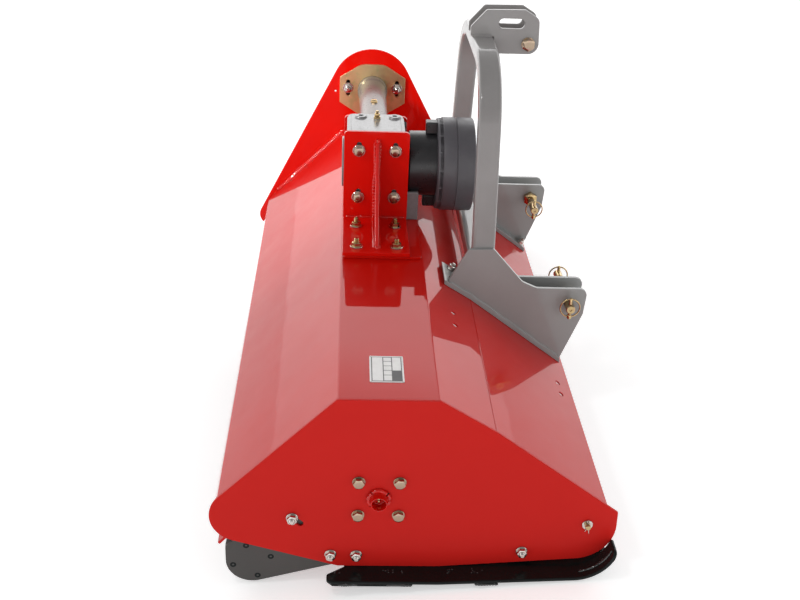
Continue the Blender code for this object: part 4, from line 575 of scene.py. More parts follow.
def turned_point(centre, distance, angle):
    return (centre[0] + distance * math.cos(angle), centre[1] + distance * math.sin(angle))


def arc(centre, radius, start, sweep, steps):
    """Points on an arc, with both its ends."""
    return [turned_point(centre, radius, start + sweep * i / steps) for i in range(steps + 1)]


def circle(centre, radius, sides=COARSE):
    return arc(centre, radius, 0, 2 * math.pi, sides)[:-1]


def slot(first, second, radius, steps=12):
    """Slot with round ends about two centres."""
    along = math.atan2(second[1] - first[1], second[0] - first[0])
    return (arc(second, radius, along - math.pi / 2, math.pi, steps)
            + arc(first, radius, along + math.pi / 2, math.pi, steps))


def rounded(corners, step=math.radians(6)):
    """Outline through (y, z, radius) corners, with an arc at each rounded one."""
    points = []
    count = len(corners)
    for index, (y, z, radius) in enumerate(corners):
        here = Vector((y, z))
        if radius == 0:
            points.append((y, z))
            continue
        before = (Vector(corners[index - 1][:2]) - here).normalized()
        after = (Vector(corners[(index + 1) % count][:2]) - here).normalized()
        half = before.angle(after) / 2
        reach = radius / math.tan(half)
        centre = here + (before + after).normalized() * (radius / math.sin(half))
        start = here + before * reach - centre
        end = here + after * reach - centre
        first = math.atan2(start.y, start.x)
        sweep = math.atan2(end.y, end.x) - first
        sweep = (sweep + math.pi) % (2 * math.pi) - math.pi
        points += arc(centre, radius, first, sweep, max(1, math.ceil(abs(sweep) / step)))
    return points


def rectangle(left, right, rear, front, corner):
    """Outline of a rectangle with round corners."""
    return rounded([(left, rear, corner), (right, rear, corner),
                    (right, front, corner), (left, front, corner)])


def hull_of_circles(low, low_radius, high, high_radius, step=math.radians(5)):
    """Belt-shaped outline round a low and a high circle on one upright line."""
    lean = math.asin((low_radius - high_radius) / (high[1] - low[1]))
    points = []
    for centre, radius, start, sweep in ((high, high_radius, lean, math.pi - 2 * lean),
                                         (low, low_radius, math.pi - lean, math.pi + 2 * lean)):
        points += arc(centre, radius, start, sweep, math.ceil(sweep / step))
    return points


# Finishes

def add_node(tree, kind, inputs, **settings):
    """New node whose inputs are values or the outputs of other nodes."""
    node = tree.nodes.new("ShaderNode" + kind)
    for name, value in settings.items():
        setattr(node, name, value)
    for name, value in inputs.items():
        if isinstance(value, bpy.types.NodeSocket):
            tree.links.new(value, node.inputs[name])
        else:
            node.inputs[name].default_value = value
    return node


class Nodes:
    """Small helper that builds a material's nodes on real-scale object coordinates."""

    def __init__(self, name):
        self.material = bpy.data.materials.new(name)
        self.material.use_nodes = True
        self.tree = self.material.node_tree
        self.shader = self.tree.nodes["Principled BSDF"]
        self.place = self.tree.nodes.new("ShaderNodeTexCoord").outputs["Object"]

    def set(self, values):
        """Give the shader's own sockets their values."""
        for name, value in values.items():
            self.shader.inputs[name].default_value = value

    def feed(self, name, source):
        self.tree.links.new(source, self.shader.inputs[name])

    def noise(self, size, detail=3.0, rough=0.5, stretch=None):
        """Noise whose features are about one size across, in metres."""
        source = self.place
        if stretch:
            source = add_node(self.tree, "Mapping", {"Vector": source, "Scale": stretch}).outputs["Vector"]
        return add_node(self.tree, "TexNoise", {"Vector": source, "Scale": 1 / size, "Detail": detail,
                                                "Roughness": rough}).outputs["Fac"]

    def ramp(self, source, low, high, start, end):
        """Values from start to end as the source goes from low to high."""
        return add_node(self.tree, "MapRange", {"Value": source, "From Min": low, "From Max": high,
                                                "To Min": start, "To Max": end}).outputs["Result"]

    def mix(self, factor, first, second):
        """Colour mix of a socket or a colour with another colour."""
        colours = [(*value, 1) if isinstance(value, tuple) else value for value in (first, second)]
        return add_node(self.tree, "Mix", {"Factor": factor, 6: colours[0], 7: colours[1]},
                        data_type='RGBA').outputs[2]

    def edges(self, low, high):
        """How far a place is out on an edge, broken up by noise."""
        edge = self.tree.nodes.new("ShaderNodeNewGeometry").outputs["Pointiness"]
        parts = {0: self.ramp(edge, low, high, 0, 1), 1: self.ramp(self.noise(0.006), 0.35, 0.65, 0, 1)}
        return add_node(self.tree, "Math", parts, operation='MULTIPLY').outputs["Value"]

    def bump(self, source, depth, below=None):
        inputs = {"Height": source, "Distance": depth, "Strength": 1.0}
        if below:
            inputs["Normal"] = below
        return add_node(self.tree, "Bump", inputs).outputs["Normal"]


def finish(name, color, other, cloud, rough, grain, depth, metallic=0.0, edge_highlight=None, edge_highlight_at=(0.62, 0.74),
           wave=None, dust=None, spots=None, blur=0.06, coat=None, specular=0.5, ior=1.5, stretch=None):
    """Procedural finish: cloudy colour, a painted highlight that lightens sharp edges, uneven gloss and a
    fine grain, all at real scale.
    """
    nodes = Nodes(name)
    nodes.set({"Metallic": metallic, "Specular IOR Level": specular, "IOR": ior})
    if coat:
        nodes.set(dict(zip(("Coat Weight", "Coat Roughness", "Coat IOR"), coat)))
    clouds = nodes.noise(cloud, 4.0, 0.6, stretch)
    base = nodes.mix(nodes.ramp(clouds, 0.3, 0.7, 0, 1), color, other)
    if spots:
        size, shade, share = spots
        base = nodes.mix(nodes.ramp(nodes.noise(size, 2.0), share, share + blur, 0, 1), base, shade)
    if dust:
        shade, amount = dust
        base = nodes.mix(nodes.ramp(nodes.noise(0.05, 6.0, 0.7), 0.45, 0.75, 0, amount), base, shade)
    # Lighter colour on sharp edges: a painted highlight along every edge that catches the light
    if edge_highlight:
        base = nodes.mix(nodes.edges(*edge_highlight_at), base, edge_highlight)
    nodes.feed("Base Color", base)
    nodes.feed("Roughness", nodes.ramp(nodes.noise(0.3 * cloud, 4.0, 0.6, stretch), 0.3, 0.7, *rough))
    normal = None
    if wave:
        normal = nodes.bump(nodes.noise(wave[0], 1.0), wave[1])
        nodes.feed("Coat Normal", normal)
    nodes.feed("Normal", nodes.bump(nodes.noise(grain, 3.0, 0.6, stretch), depth, normal))
    return nodes.material


# Each finish: material, its two colours and the size of their clouds, the least and the most roughness, the
# size and the depth of the grain. Lengths are in metres.
# The lighter edge colours given to the finishes are painted highlights on sharp edges.
FINISHES = {
    "red_paint": finish("red_paint_gloss", (0.52, 0.0042, 0.0012), (0.48, 0.0034, 0.0010), 0.30, (0.34, 0.46),
                        0.0022, 0.000004, edge_highlight=(0.60, 0.04, 0.03), edge_highlight_at=(0.64, 0.76), wave=(0.16, 0.0003),
                        coat=(1.0, 0.02, 1.25), specular=0.03, ior=1.45),
    "even_red_paint": finish("red_paint_even", (0.53, 0.0145, 0.0112), (0.50, 0.0135, 0.0105), 0.30,
                             (0.34, 0.46), 0.0022, 0.000004, edge_highlight=(0.60, 0.05, 0.04), wave=(0.16, 0.0003),
                             coat=(0.3, 0.25, 1.25), specular=0.03, ior=1.45),
    # Brighter copy of the red paint for the far end plate, belt cover and gearbox brackets: painted light
    # that stands in for the stronger light on the far end
    "painted_light_red_paint": finish("red_paint_painted_light", (0.63, 0.0045, 0.0014), (0.58, 0.0038, 0.0011), 0.30,
                              (0.34, 0.46), 0.0022, 0.000004, edge_highlight=(0.74, 0.05, 0.04), wave=(0.08, 0.0003),
                              coat=(1.0, 0.02, 1.25), specular=0.03, ior=1.45),
    # Same brightened red as the copy above, so painted light too, with a glossier coat, for the welds, ribs
    # and right bearing cap
    "weld_red_paint": finish("red_paint_glossy_painted_light", (0.63, 0.0045, 0.0014), (0.50, 0.0038, 0.0011), 0.04,
                             (0.30, 0.42), 0.0022, 0.00001, edge_highlight=(0.74, 0.05, 0.04), wave=(0.006, 0.0004),
                             coat=(1.0, 0.05, 1.50), specular=0.03, ior=1.45),
    "grey_paint": finish("grey_paint_satin", (0.255, 0.244, 0.240), (0.225, 0.215, 0.212), 0.12, (0.30, 0.40),
                         0.0016, 0.00003, edge_highlight=(0.50, 0.49, 0.48), wave=(0.05, 0.0004),
                         coat=(0.8, 0.07, 1.45), specular=0.2),
    "low_grey_paint": finish("grey_paint_lower", (0.280, 0.284, 0.280), (0.250, 0.253, 0.250), 0.12,
                             (0.30, 0.40), 0.0016, 0.00003, edge_highlight=(0.50, 0.49, 0.48), wave=(0.05, 0.0004),
                             coat=(0.8, 0.07, 1.45), specular=0.2),
    "dark_grey_paint": finish("dark_grey_paint_satin", (0.062, 0.057, 0.054), (0.050, 0.047, 0.045), 0.10,
                              (0.36, 0.50), 0.0014, 0.00006, edge_highlight=(0.18, 0.175, 0.17), specular=0.3,
                              dust=((0.13, 0.115, 0.10), 0.12)),
    "grey_cast_iron": finish("grey_cast_painted", (0.176, 0.172, 0.177), (0.140, 0.135, 0.138), 0.03,
                             (0.26, 0.40), 0.0012, 0.00010, edge_highlight=(0.50, 0.49, 0.49), wave=(0.020, 0.0003),
                             spots=(0.0020, (0.10, 0.098, 0.10), 0.62), coat=(0.6, 0.12, 1.45)),
    "tube_paint": finish("grey_tube_painted", (0.165, 0.136, 0.124), (0.142, 0.116, 0.105), 0.05,
                         (0.26, 0.36), 0.0016, 0.00004, edge_highlight=(0.42, 0.38, 0.36), wave=(0.06, 0.0003),
                         coat=(0.36, 0.12, 1.4)),
    "gloss_black_paint": finish("black_paint_gloss", (0.0068, 0.0098, 0.0096), (0.0088, 0.0118, 0.0115), 0.06,
                                (0.12, 0.20), 0.0025, 0.00004, wave=(0.016, 0.0014), specular=0.14),
    "gloss_black_weld": finish("black_weld_gloss", (0.008, 0.012, 0.012), (0.010, 0.014, 0.014), 0.06,
                               (0.06, 0.12), 0.0025, 0.00008, wave=(0.005, 0.0006), specular=0.7),
    "black_plastic": finish("black_plastic_moulded", (0.078, 0.073, 0.082), (0.062, 0.058, 0.066), 0.08,
                            (0.34, 0.46), 0.0006, 0.00004, edge_highlight=(0.20, 0.195, 0.205), wave=(0.03, 0.0002),
                            dust=((0.12, 0.115, 0.11), 0.10)),
    "black_collar_plastic": finish("black_plastic_smooth", (0.012, 0.011, 0.013), (0.017, 0.016, 0.018), 0.06,
                                   (0.26, 0.36), 0.0008, 0.00003, edge_highlight=(0.10, 0.095, 0.105),
                                   wave=(0.03, 0.0003)),
    "bright_zinc": finish("zinc_bright", (0.62, 0.60, 0.58), (0.50, 0.45, 0.40), 0.008, (0.10, 0.20), 0.0008,
                          0.00003, metallic=1.0, edge_highlight=(0.85, 0.83, 0.80)),
    "beige_zinc": finish("zinc_beige", (0.42, 0.31, 0.235), (0.35, 0.29, 0.19), 0.010, (0.10, 0.18), 0.0008,
                         0.00003, metallic=1.0, edge_highlight=(0.70, 0.60, 0.52),
                         spots=(0.010, (0.42, 0.26, 0.23), 0.52), blur=0.16),
    "yellow_zinc": finish("zinc_yellow", (0.72, 0.59, 0.29), (0.68, 0.51, 0.29), 0.030, (0.30, 0.42), 0.0010,
                          0.00002, metallic=1.0, spots=(0.025, (0.56, 0.54, 0.26), 0.52), blur=0.18,
                          edge_highlight=(0.66, 0.56, 0.36)),
    "sheet_zinc": finish("zinc_sheet", (0.34, 0.34, 0.345), (0.27, 0.27, 0.28), 0.020, (0.34, 0.46), 0.0010,
                         0.00002, metallic=1.0, spots=(0.012, (0.40, 0.40, 0.41), 0.5), blur=0.1),
    "gold_zinc": finish("zinc_gold", (0.52, 0.41, 0.19), (0.46, 0.30, 0.18), 0.008, (0.12, 0.22), 0.0008,
                        0.00002, metallic=1.0, edge_highlight=(0.74, 0.62, 0.40)),
    "machined_steel": finish("steel_machined", (0.62, 0.61, 0.59), (0.52, 0.51, 0.49), 0.02, (0.22, 0.36),
                             0.0006, 0.00003, metallic=1.0, stretch=(1, 12, 1)),
    "plate_print": finish("plate_pale", (0.72, 0.71, 0.70), (0.64, 0.63, 0.62), 0.02, (0.30, 0.42), 0.0006,
                          0.00001, metallic=0.2),
    "plate_field": finish("plate_dark", (0.055, 0.055, 0.058), (0.075, 0.073, 0.074), 0.02, (0.30, 0.42),
                          0.0006, 0.00001, metallic=0.2),
    "dark_cast_iron": finish("iron_dark", (0.11, 0.11, 0.11), (0.07, 0.07, 0.07), 0.02, (0.45, 0.65), 0.0015,
                             0.00025, metallic=0.6, edge_highlight=(0.35, 0.34, 0.33),
                             spots=(0.004, (0.13, 0.08, 0.05), 0.66)),
    "belt_rubber": finish("rubber_black", (0.016, 0.016, 0.016), (0.026, 0.025, 0.024), 0.02, (0.65, 0.85),
                          0.0008, 0.00010, dust=((0.09, 0.085, 0.08), 0.2)),
}


# Pieces of the scene

JOINTS = {joint["name"]: joint for joint in frame["joints"]}
RANDOM = random.Random(7)


def machine_matrix():
    """The machine's own frame in the row frame: it leans forward, with its rotor where the joint says."""
    forward = Vector(JOINTS["input_spin"]["axis"])
    turn = Matrix.Rotation(math.atan2(forward.z, forward.y), 4, 'X')
    return Matrix.Translation(JOINTS["rotor_spin"]["pos_m"]) @ turn @ Matrix.Translation((0, 0, -ROTOR_Z))


MACHINE = machine_matrix()


def round_edges(obj, width, segments, angle):
    """Round the edges that are sharper than an angle."""
    edges = obj.modifiers.new("edges", 'BEVEL')
    edges.width = width
    edges.segments = segments
    edges.limit_method = 'ANGLE'
    edges.angle_limit = math.radians(angle)
    edges.harden_normals = True
    return edges


def piece(name, mesh, finish, place=(0, 0, 0), replaces=(), body="frame", bevel=0.0, segments=2, angle=35):
    """Show a mesh of the machine's own frame, with rounded or sharp edges, on a body of the frame."""
    mesh = mesh.copy()
    mesh.materials.clear()
    mesh.materials.append(FINISHES[finish])
    mesh.transform(MACHINE @ Matrix.Translation(place))
    mesh.shade_smooth()
    obj = shown(bpy.data.objects.new(name, mesh))
    if bevel:
        round_edges(obj, bevel, segments, angle).use_clamp_overlap = False
    else:
        mesh.set_sharp_from_angle(angle=math.radians(angle))
    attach(obj, body)
    if replaces:
        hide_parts(*replaces)
    return obj


def ring(radius, x, sides=36):
    return [(x, radius * math.cos(2 * math.pi * i / sides), radius * math.sin(2 * math.pi * i / sides))
            for i in range(sides)]


def hexagon_reach(half, i, sides):
    """Distance from the middle of a hexagon to its side in the direction of a step of a full turn."""
    turn = (360 * i / sides + 30) % 60 - 30
    return half / math.cos(math.radians(turn))


def hexagon_ring(half, height, crown, sides=36):
    """Ring round a hexagon, at a height lowered by its chamfered crown."""
    points = []
    for i in range(sides):
        reach = hexagon_reach(half, i, sides)
        drop = max(0.0, reach - crown) * math.tan(math.radians(30)) if crown else 0.0
        turn = 2 * math.pi * i / sides
        points.append((height - drop, reach * math.cos(turn), reach * math.sin(turn)))
    return points


def hex_head(flats, height, bore=0.0):
    """Bolt head or nut along X, with its seat at X = 0 and its chamfered crown outward."""
    half = flats / 2
    crown = CROWN_SHARE * half
    rings = [hexagon_ring(half, 0, 0), hexagon_ring(half, height, crown), ring(crown, height)]
    if bore:
        rings += [ring(bore * 1.12, height), ring(bore, height - 0.12 * bore), ring(bore, 0.5 * height)]
    else:
        rings += [ring(0.70 * crown, height + 0.045 * half), ring(0.35 * crown, height + 0.075 * half)]
    return loft(rings)


def washer_disc(outer, inner, thickness):
    edge = 0.25 * thickness
    return loft([ring(inner, 0), ring(outer - edge, 0), ring(outer, edge), ring(outer, thickness - edge),
                 ring(outer - edge, thickness), ring(inner, thickness)], closed=True)


def thread(radius, start, end, pitch=THREAD_PITCH):
    """End of a threaded shank with a chamfered tip."""
    rings = []
    root = radius - THREAD_DEPTH * pitch
    count = max(2, round((end - start) / pitch))
    step = (end - start) / count
    for i in range(count):
        x = start + (end - start) * i / count
        rings += [ring(root, x, 24), ring(radius, x + 0.4 * step, 24), ring(radius, x + 0.6 * step, 24)]
    rings += [ring(root, end, 24), ring(0.7 * radius, end + 0.15 * radius, 24)]
    return loft(rings)


def spun(mesh):
    """Copy of a fastener turned about its own axis by a chance angle."""
    return moved(mesh, turn=Matrix.Rotation(RANDOM.uniform(0, math.pi), 4, 'X'))


def head_bolt(size, washer=True):
    """Hexagon head on its washer, seen from outside, with its seat at X = 0."""
    radius, flats = size
    pieces = [moved(spun(hex_head(flats, HEAD_HEIGHT * radius)), WASHER_THICKNESS if washer else 0.0)]
    if washer:
        pieces.append(washer_disc(WASHER_SHARE * flats, radius, WASHER_THICKNESS))
    return joined(*pieces)


def nut_end(size, stands=0.006, washer_radius=None):
    """Nut on its washer with the thread standing out of it, with its seat at X = 0."""
    radius, flats = size
    lift = WASHER_THICKNESS
    height = NUT_HEIGHT * radius
    return joined(moved(spun(hex_head(flats, height, radius)), lift),
                  thread(0.98 * radius, lift, lift + height + stands),
                  washer_disc(washer_radius or WASHER_SHARE * flats, radius, WASHER_THICKNESS))


def weld(points, bead, sides=10):
    """Rippled, slightly uneven bead along a path of points, drawn in at both ends."""
    radius, ripple = BEADS[bead]
    points = [Vector(point) for point in points]
    rings = []
    spacing = ripple / 3
    phase = RANDOM.uniform(0, math.pi)
    travelled = 0.0
    for first, second in zip(points, points[1:]):
        run = second - first
        steps = max(1, round(run.length / spacing))
        along = run.normalized()
        side = along.orthogonal().normalized()
        up = along.cross(side)
        for i in range(steps):
            here = first + run * (i / steps)
            distance = travelled + run.length * i / steps
            wave = abs(math.sin(math.pi * distance / ripple))
            swell = math.sin(distance / (1.3 * ripple) + phase) + math.sin(distance / (3.1 * ripple))
            size = radius * (0.76 + 0.28 * wave + 0.12 * swell)
            wander = 0.14 * radius * math.sin(distance / (2.1 * ripple) + 2 * phase)
            centre = here + wander * (side + up)
            rings.append([centre + size * (math.cos(2 * math.pi * k / sides) * side
                                           + math.sin(2 * math.pi * k / sides) * up) for k in range(sides)])
        travelled += run.length
    last = [point + (points[-1] - here) for point in rings[-1]]
    rings[0] = [points[0] + 0.5 * (point - points[0]) for point in rings[0]]
    rings.append([points[-1] + 0.5 * (point - points[-1]) for point in last])
    return loft(rings)


def round_weld(x, radius, sides, bead):
    """Bead round the X axis."""
    around = circle((0, 0), radius, sides)
    return weld([(x, y, z) for y, z in (*around, around[0])], bead)


def tube_along(points, radius, sides=12):
    """Round wire through points."""
    points = [Vector(point) for point in points]
    rings = []
    normal = None
    for i, here in enumerate(points):
        before = points[i - 1] if i else here
        after = points[i + 1] if i < len(points) - 1 else here
        along = (after - before).normalized()
        normal = along.orthogonal() if normal is None else normal - along * normal.dot(along)
        normal.normalize()
        up = along.cross(normal)
        rings.append([here + radius * (math.cos(2 * math.pi * k / sides) * normal
                                       + math.sin(2 * math.pi * k / sides) * up) for k in range(sides)])
    return loft(rings)


def sheet_outline(points, thickness, radius):
    """Closed outline of a bent sheet whose outer face runs through points, with its metal below."""
    points = [Vector(point) for point in points]
    inner = []
    for i, here in enumerate(points):
        before = (here - points[i - 1]).normalized() if i else None
        after = (points[i + 1] - here).normalized() if i < len(points) - 1 else None
        normals = [Vector((way.y, -way.x)) for way in (before, after) if way]
        middle = sum(normals, Vector((0, 0))).normalized()
        inner.append(here + middle * (thickness / middle.dot(normals[0])))
    ends = (0, len(points) - 1)
    corners = [(*point, 0 if i in ends else radius + thickness) for i, point in enumerate(points)]
    corners += [(*inner[i], 0 if i in ends else radius) for i in reversed(range(len(points)))]
    return rounded(corners)


def right_outline():
    return rounded([(*REAR_CORNER, REAR_RADIUS),
                    (TOP_REAR_Y, TOP_Z, EDGE_RADIUS),
                    (TOP_FRONT_Y, TOP_Z, EDGE_RADIUS),
                    (*CREASE, 0),
                    (*NOSE_TIP, 0),
                    (*NOSE_CORNER, NOSE_RADIUS),
                    (BOTTOM_FRONT_Y, BOTTOM_Z, 0),
                    (BOTTOM_REAR_Y, BOTTOM_Z, 0)])


def left_outline():
    return rounded([(*LEFT_REAR_CORNER, LEFT_REAR_RADIUS),
                    (*DRIVE_TOP_CORNER, DRIVE_TOP_RADIUS),
                    (*DRIVE_FRONT_FOOT, 0),
                    (*NOSE_TIP, 0),
                    (*NOSE_CORNER, NOSE_RADIUS),
                    (BOTTOM_FRONT_Y, BOTTOM_Z, 0),
                    (BOTTOM_REAR_Y, BOTTOM_Z, 0)])


def bearing_bolts():
    offset = BEARING_BOLT_OFFSET
    return [(y, ROTOR_Z + z) for y in (-offset, offset) for z in (-offset, offset)]


def shared_holes():
    """Holes that both end plates have."""
    return [circle((0, ROTOR_Z), BEARING_CAP + PLAY, MEDIUM),
            *[circle(place, hole_for(M12)) for place in (*bearing_bolts(), *SKID_BOLTS, ARM_BOLTS[0])],
            slot(ARM_BOLTS[1], ARM_SLOT_END, hole_for(M12)),
            circle((FLAP_ROD_Y, FLAP_ROD_Z), FLAP_ROD + PLAY, SMALL)]


def slope_height(y):
    """Height of the hood's outer face at a place on its top or front slope."""
    crease = (CREASE[0] - PLATE_PROUD / 2, CREASE[1] - PLATE_PROUD)
    start = (TOP_FRONT_Y - PLATE_PROUD / 2, HOOD_TOP_Z)
    first, second = (start, crease) if y < crease[0] else (crease, HOOD_FRONT)
    share = (y - first[0]) / (second[0] - first[0])
    return first[1] + share * (second[1] - first[1])


def slope_angle():
    """Fall of the lower front slope."""
    return math.atan2(CREASE[1] - PLATE_PROUD - HOOD_FRONT[1], HOOD_FRONT[0] - CREASE[0] + PLATE_PROUD / 2)


def upper_slope_angle():
    return math.atan2(HOOD_TOP_Z - slope_height(CREASE[0] - PLATE_PROUD / 2),
                      CREASE[0] - TOP_FRONT_Y)


def lean_at(y):
    """Fall of the hood's front slope at a place on it."""
    return slope_angle() if y > CREASE[0] else upper_slope_angle()


def hood_section():
    """Outer face of the hood from its rear lip to its front edge."""
    inset = PLATE_PROUD / 2
    fall = (TOP_Z - REAR_CORNER[1]) / (TOP_REAR_Y - REAR_CORNER[0])
    bend_y = HOOD_LIP[0] + LIP_WIDTH
    bend_z = REAR_CORNER[1] + (bend_y - REAR_CORNER[0]) * fall - PLATE_PROUD
    return [HOOD_LIP,
            (bend_y, bend_z),
            (TOP_REAR_Y + inset, HOOD_TOP_Z),
            (TOP_FRONT_Y - inset, HOOD_TOP_Z),
            (CREASE[0] - inset, CREASE[1] - PLATE_PROUD),
            HOOD_FRONT]


def side_bolts():
    """Y and height above the drive axis of the bolts that hold the gearbox between its brackets."""
    return [(y, z) for y in (-SIDE_BOLT_Y, SIDE_BOLT_Y) for z in (-SIDE_BOLT_Z, SIDE_BOLT_Z)]


def bracket_x(direction):
    return GEARBOX_X + direction * (GEARBOX_HALF + GAP)


def flange_bolts():
    return [(y, DRIVE_Z + FLANGE_BOLT_Z) for y in (-FLANGE_BOLT_Y, FLANGE_BOLT_Y)]


def arm_outline():
    end = ROLLER_Y - ARM_END_RADIUS
    foot_y = ROLLER_Y + ARM_END_RADIUS * math.sin(ARM_FALL)
    foot_z = ROLLER_Z - ARM_END_RADIUS * math.cos(ARM_FALL)
    corner_z = foot_z + (end - foot_y) * math.tan(ARM_FALL)
    front_z = foot_z + (ARM_FRONT_Y - foot_y) * math.tan(ARM_FALL)
    return rounded([(end, corner_z, ARM_END_RADIUS), (ARM_FRONT_Y, front_z, ARM_CORNER), *ARM_TOP_CORNERS,
                    (end, ARM_REAR_Z, ARM_CORNER)])


def roller_bolts():
    angles = [ROLLER_BOLT_ANGLE + math.pi / 2 * i for i in range(4)]
    return [turned_point((ROLLER_Y, ROLLER_Z), ROLLER_BOLT_CIRCLE, angle) for angle in angles]


def skid_section():
    """Side view of the sole: flat, then rising, then turned up at the nose."""
    low = [(SOLE_REAR_OUT_Y, SOLE_LOW_Z), (BOTTOM_FRONT_Y, SOLE_LOW_Z)]
    high = [(SOLE_REAR_OUT_Y, SOLE_TOP_Z), (BOTTOM_FRONT_Y, SOLE_TOP_Z)]
    centre = (SOLE_NOSE_Y, NOSE_CENTRE_Z)
    start, sweep = SOLE_RISE - math.pi / 2, SOLE_NOSE_TURN - SOLE_RISE
    low += arc(centre, SOLE_NOSE_RADIUS, start, sweep, COARSE)
    high += arc(centre, SOLE_NOSE_RADIUS - SOLE, start, sweep, COARSE)
    return low + high[::-1]


def ear_outline(span, place):
    rear, front = span
    top = place[1] + SKID_EAR_TOP
    return rounded([(rear, SOLE_LOW_Z + SOLE / 2, 0), (front, SOLE_LOW_Z + SOLE / 2, 0),
                    (front, top, SKID_EAR_CORNER), (rear, top, SKID_EAR_CORNER)])


def arch_leg_x():
    """Outer face of the hoop's upright legs, against the outboard clevis plates."""
    return LINK_HALF_SPAN + CLEVIS_HALF - CLEVIS_PLATE - GAP


def arch_outline():
    """Hoop in X and Z about the gearbox's middle, as a closed band."""
    centre = (ARCH_FLAT, ARCH_TOP_Z - ARCH_BEND)
    outer, inner = (arc(centre, radius, math.pi / 2, ARCH_LEAN - math.pi / 2, 30)
                    for radius in (ARCH_BEND, ARCH_BEND - ARCH_BAR))
    x, z = outer[-1]
    leg = arch_leg_x()
    knee_z = z - (leg - x) / math.tan(ARCH_LEAN)
    foot_z = above_slope(ARCH_Y - ARCH_DEPTH / 2, GAP + BASE_FLANGE) + GAP
    outer += [(leg, knee_z), (leg, foot_z)]
    inner += [(leg - ARCH_BAR, knee_z - ARCH_BAR * math.tan(ARCH_LEAN / 2)), (leg - ARCH_BAR, foot_z)]
    left_outer = [(-x, z) for x, z in outer[::-1]]
    left_inner = [(-x, z) for x, z in inner]
    return left_outer + outer + inner[::-1] + left_inner


def above_slope(y, height):
    """Z of a face that lies at a height above the front slope and folds with it."""
    return slope_height(y) + height / math.cos(slope_angle())


def off_slope(y, height):
    """Y and Z of a place square to the front slope, at a height above it."""
    angle = lean_at(y)
    return y + height * math.sin(angle), slope_height(y) + height * math.cos(angle)


def folded(front, rear, height):
    """Points along the front slope at a height above it, from the front past the crease to the rear."""
    crease = CREASE[0] - PLATE_PROUD / 2
    return [(y, above_slope(y, height)) for y in (front, crease, rear)]


def outboard_outline():
    """Clevis plate that rises behind to carry the hoop."""
    low = [(*point, 0) for point in folded(CLEVIS_FRONT_Y, CLEVIS_REAR_Y, GAP + BASE_FLANGE / 2)]
    rear = low[-1][1] + CLEVIS_REAR_RISE
    return rounded([*low, (CLEVIS_REAR_Y, rear, 0), *CLEVIS_TOP, *CLEVIS_NOSE])


def inboard_outline():
    """Lower clevis plate that starts at the cross tube."""
    rear = ARCH_Y + CROSS_TUBE / 2 + GAP
    low = GAP + BASE_FLANGE / 2
    return rounded([(CLEVIS_FRONT_Y, above_slope(CLEVIS_FRONT_Y, low), 0), (rear, above_slope(rear, low), 0),
                    (rear, CLEVIS_NOSE[0][1], 0), *CLEVIS_NOSE])


def link_x(direction):
    return GEARBOX_X + direction * LINK_HALF_SPAN


def base_bolts():
    return [(link_x(direction) + direction * x, y) for direction in (-1, 1) for x, y in BASE_BOLTS]


def flange_slot(y, z):
    """Upright slot for one of the bolts of the tube's flange."""
    return slot((y, z - FLANGE_SLOT_HALF), (y, z + FLANGE_SLOT_HALF), hole_for(M12))


def hole_for(size):
    return size[0] + PLAY


# Turns of a fastener, which is drawn to point to the right
UP = Matrix.Rotation(-math.pi / 2, 4, 'Y')
DOWN = Matrix.Rotation(math.pi / 2, 4, 'Y')
FORWARD = Matrix.Rotation(math.pi / 2, 4, 'Z')
OUTWARD = {1: Matrix(), -1: Matrix.Rotation(math.pi, 4, 'Z')}
AS_DRAWN = Matrix()

# The two ends of the machine, and the place of what stands on the drive's axis
SIDES = (("right", 1), ("left", -1))
DRIVE = (GEARBOX_X, 0, DRIVE_Z)


def on_slope(y):
    """Turn of a fastener that stands square on the hood's front slope."""
    return Matrix.Rotation(-lean_at(y), 4, 'X') @ UP


# Housing

def slope_of_rear(y):
    first, second = hood_section()[1:3]
    return first[1] + (y - first[0]) / (second[0] - first[0]) * (second[1] - first[1])


def make_hood():
    """Folded sheet with its bolt holes, its beads along the end plates and the seam at its front crease."""
    section = hood_section()
    outline = sheet_outline(section, SHEET, HOOD_BEND)
    sheet = side_plate(outline, PLATE_INNER_X - LEFT_X - 2 * GAP, x=MIDDLE_X)
    tools = []
    for radius, places in ((hole_for(M12), base_bolts()), (SPARE_HOLE, SPARE_HOLES)):
        pin = rod(radius, -CUTTER_REACH, CUTTER_REACH, SMALL, AS_DRAWN)
        tools += [moved(pin, x, y, slope_height(y), Matrix.Rotation(-lean_at(y), 4, 'X')) for x, y in places]
    piece("hood_sheet", cut(sheet, joined(*tools)), "red_paint", replaces=("hood_shell",), bevel=0.0008)
    ends = (PLATE_INNER_X - HOOD_BEAD_IN, LEFT_X + HOOD_BEAD_IN)
    beads = [weld([(x, y, z - HOOD_BEAD_IN / 2) for y, z in path], "hood")
             for x in ends for path in (section[1:3], section[3:])]
    piece("hood_welds", joined(*beads), "red_paint")
    y, z = section[4]
    seam = rod(HOOD_SEAM, LEFT_X + 2 * GAP, PLATE_INNER_X - 2 * GAP, COARSE)
    piece("hood_front_seam", moved(seam, y=y, z=z - HOOD_SEAM / 2), "red_paint")


def make_rear_weld():
    """Heavier bead where the raised left plate leaves the hood's rear slope and deck."""
    x = LEFT_X + DRIVE_BEAD_IN
    places = [(y, slope_of_rear(y)) for y in (*DRIVE_BEAD_Y, TOP_REAR_Y)] + [(TOP_FRONT_Y, HOOD_TOP_Z)]
    bead = weld([(x, y, z + DRIVE_BEAD_LIFT) for y, z in places], "drive_plate")
    piece("drive_plate_weld", bead, "weld_red_paint")


def make_doubler():
    outline = rectangle(-DOUBLER_HALF_X, DOUBLER_HALF_X, DOUBLER_REAR_Y, DOUBLER_FRONT_Y, DOUBLER_CORNER)
    piece("doubler_plate", flat_solid(outline, DOUBLER), "red_paint",
          (GEARBOX_X, 0, DOUBLER_LOW_Z + DOUBLER / 2), ("hood_doubler",), bevel=0.0008)


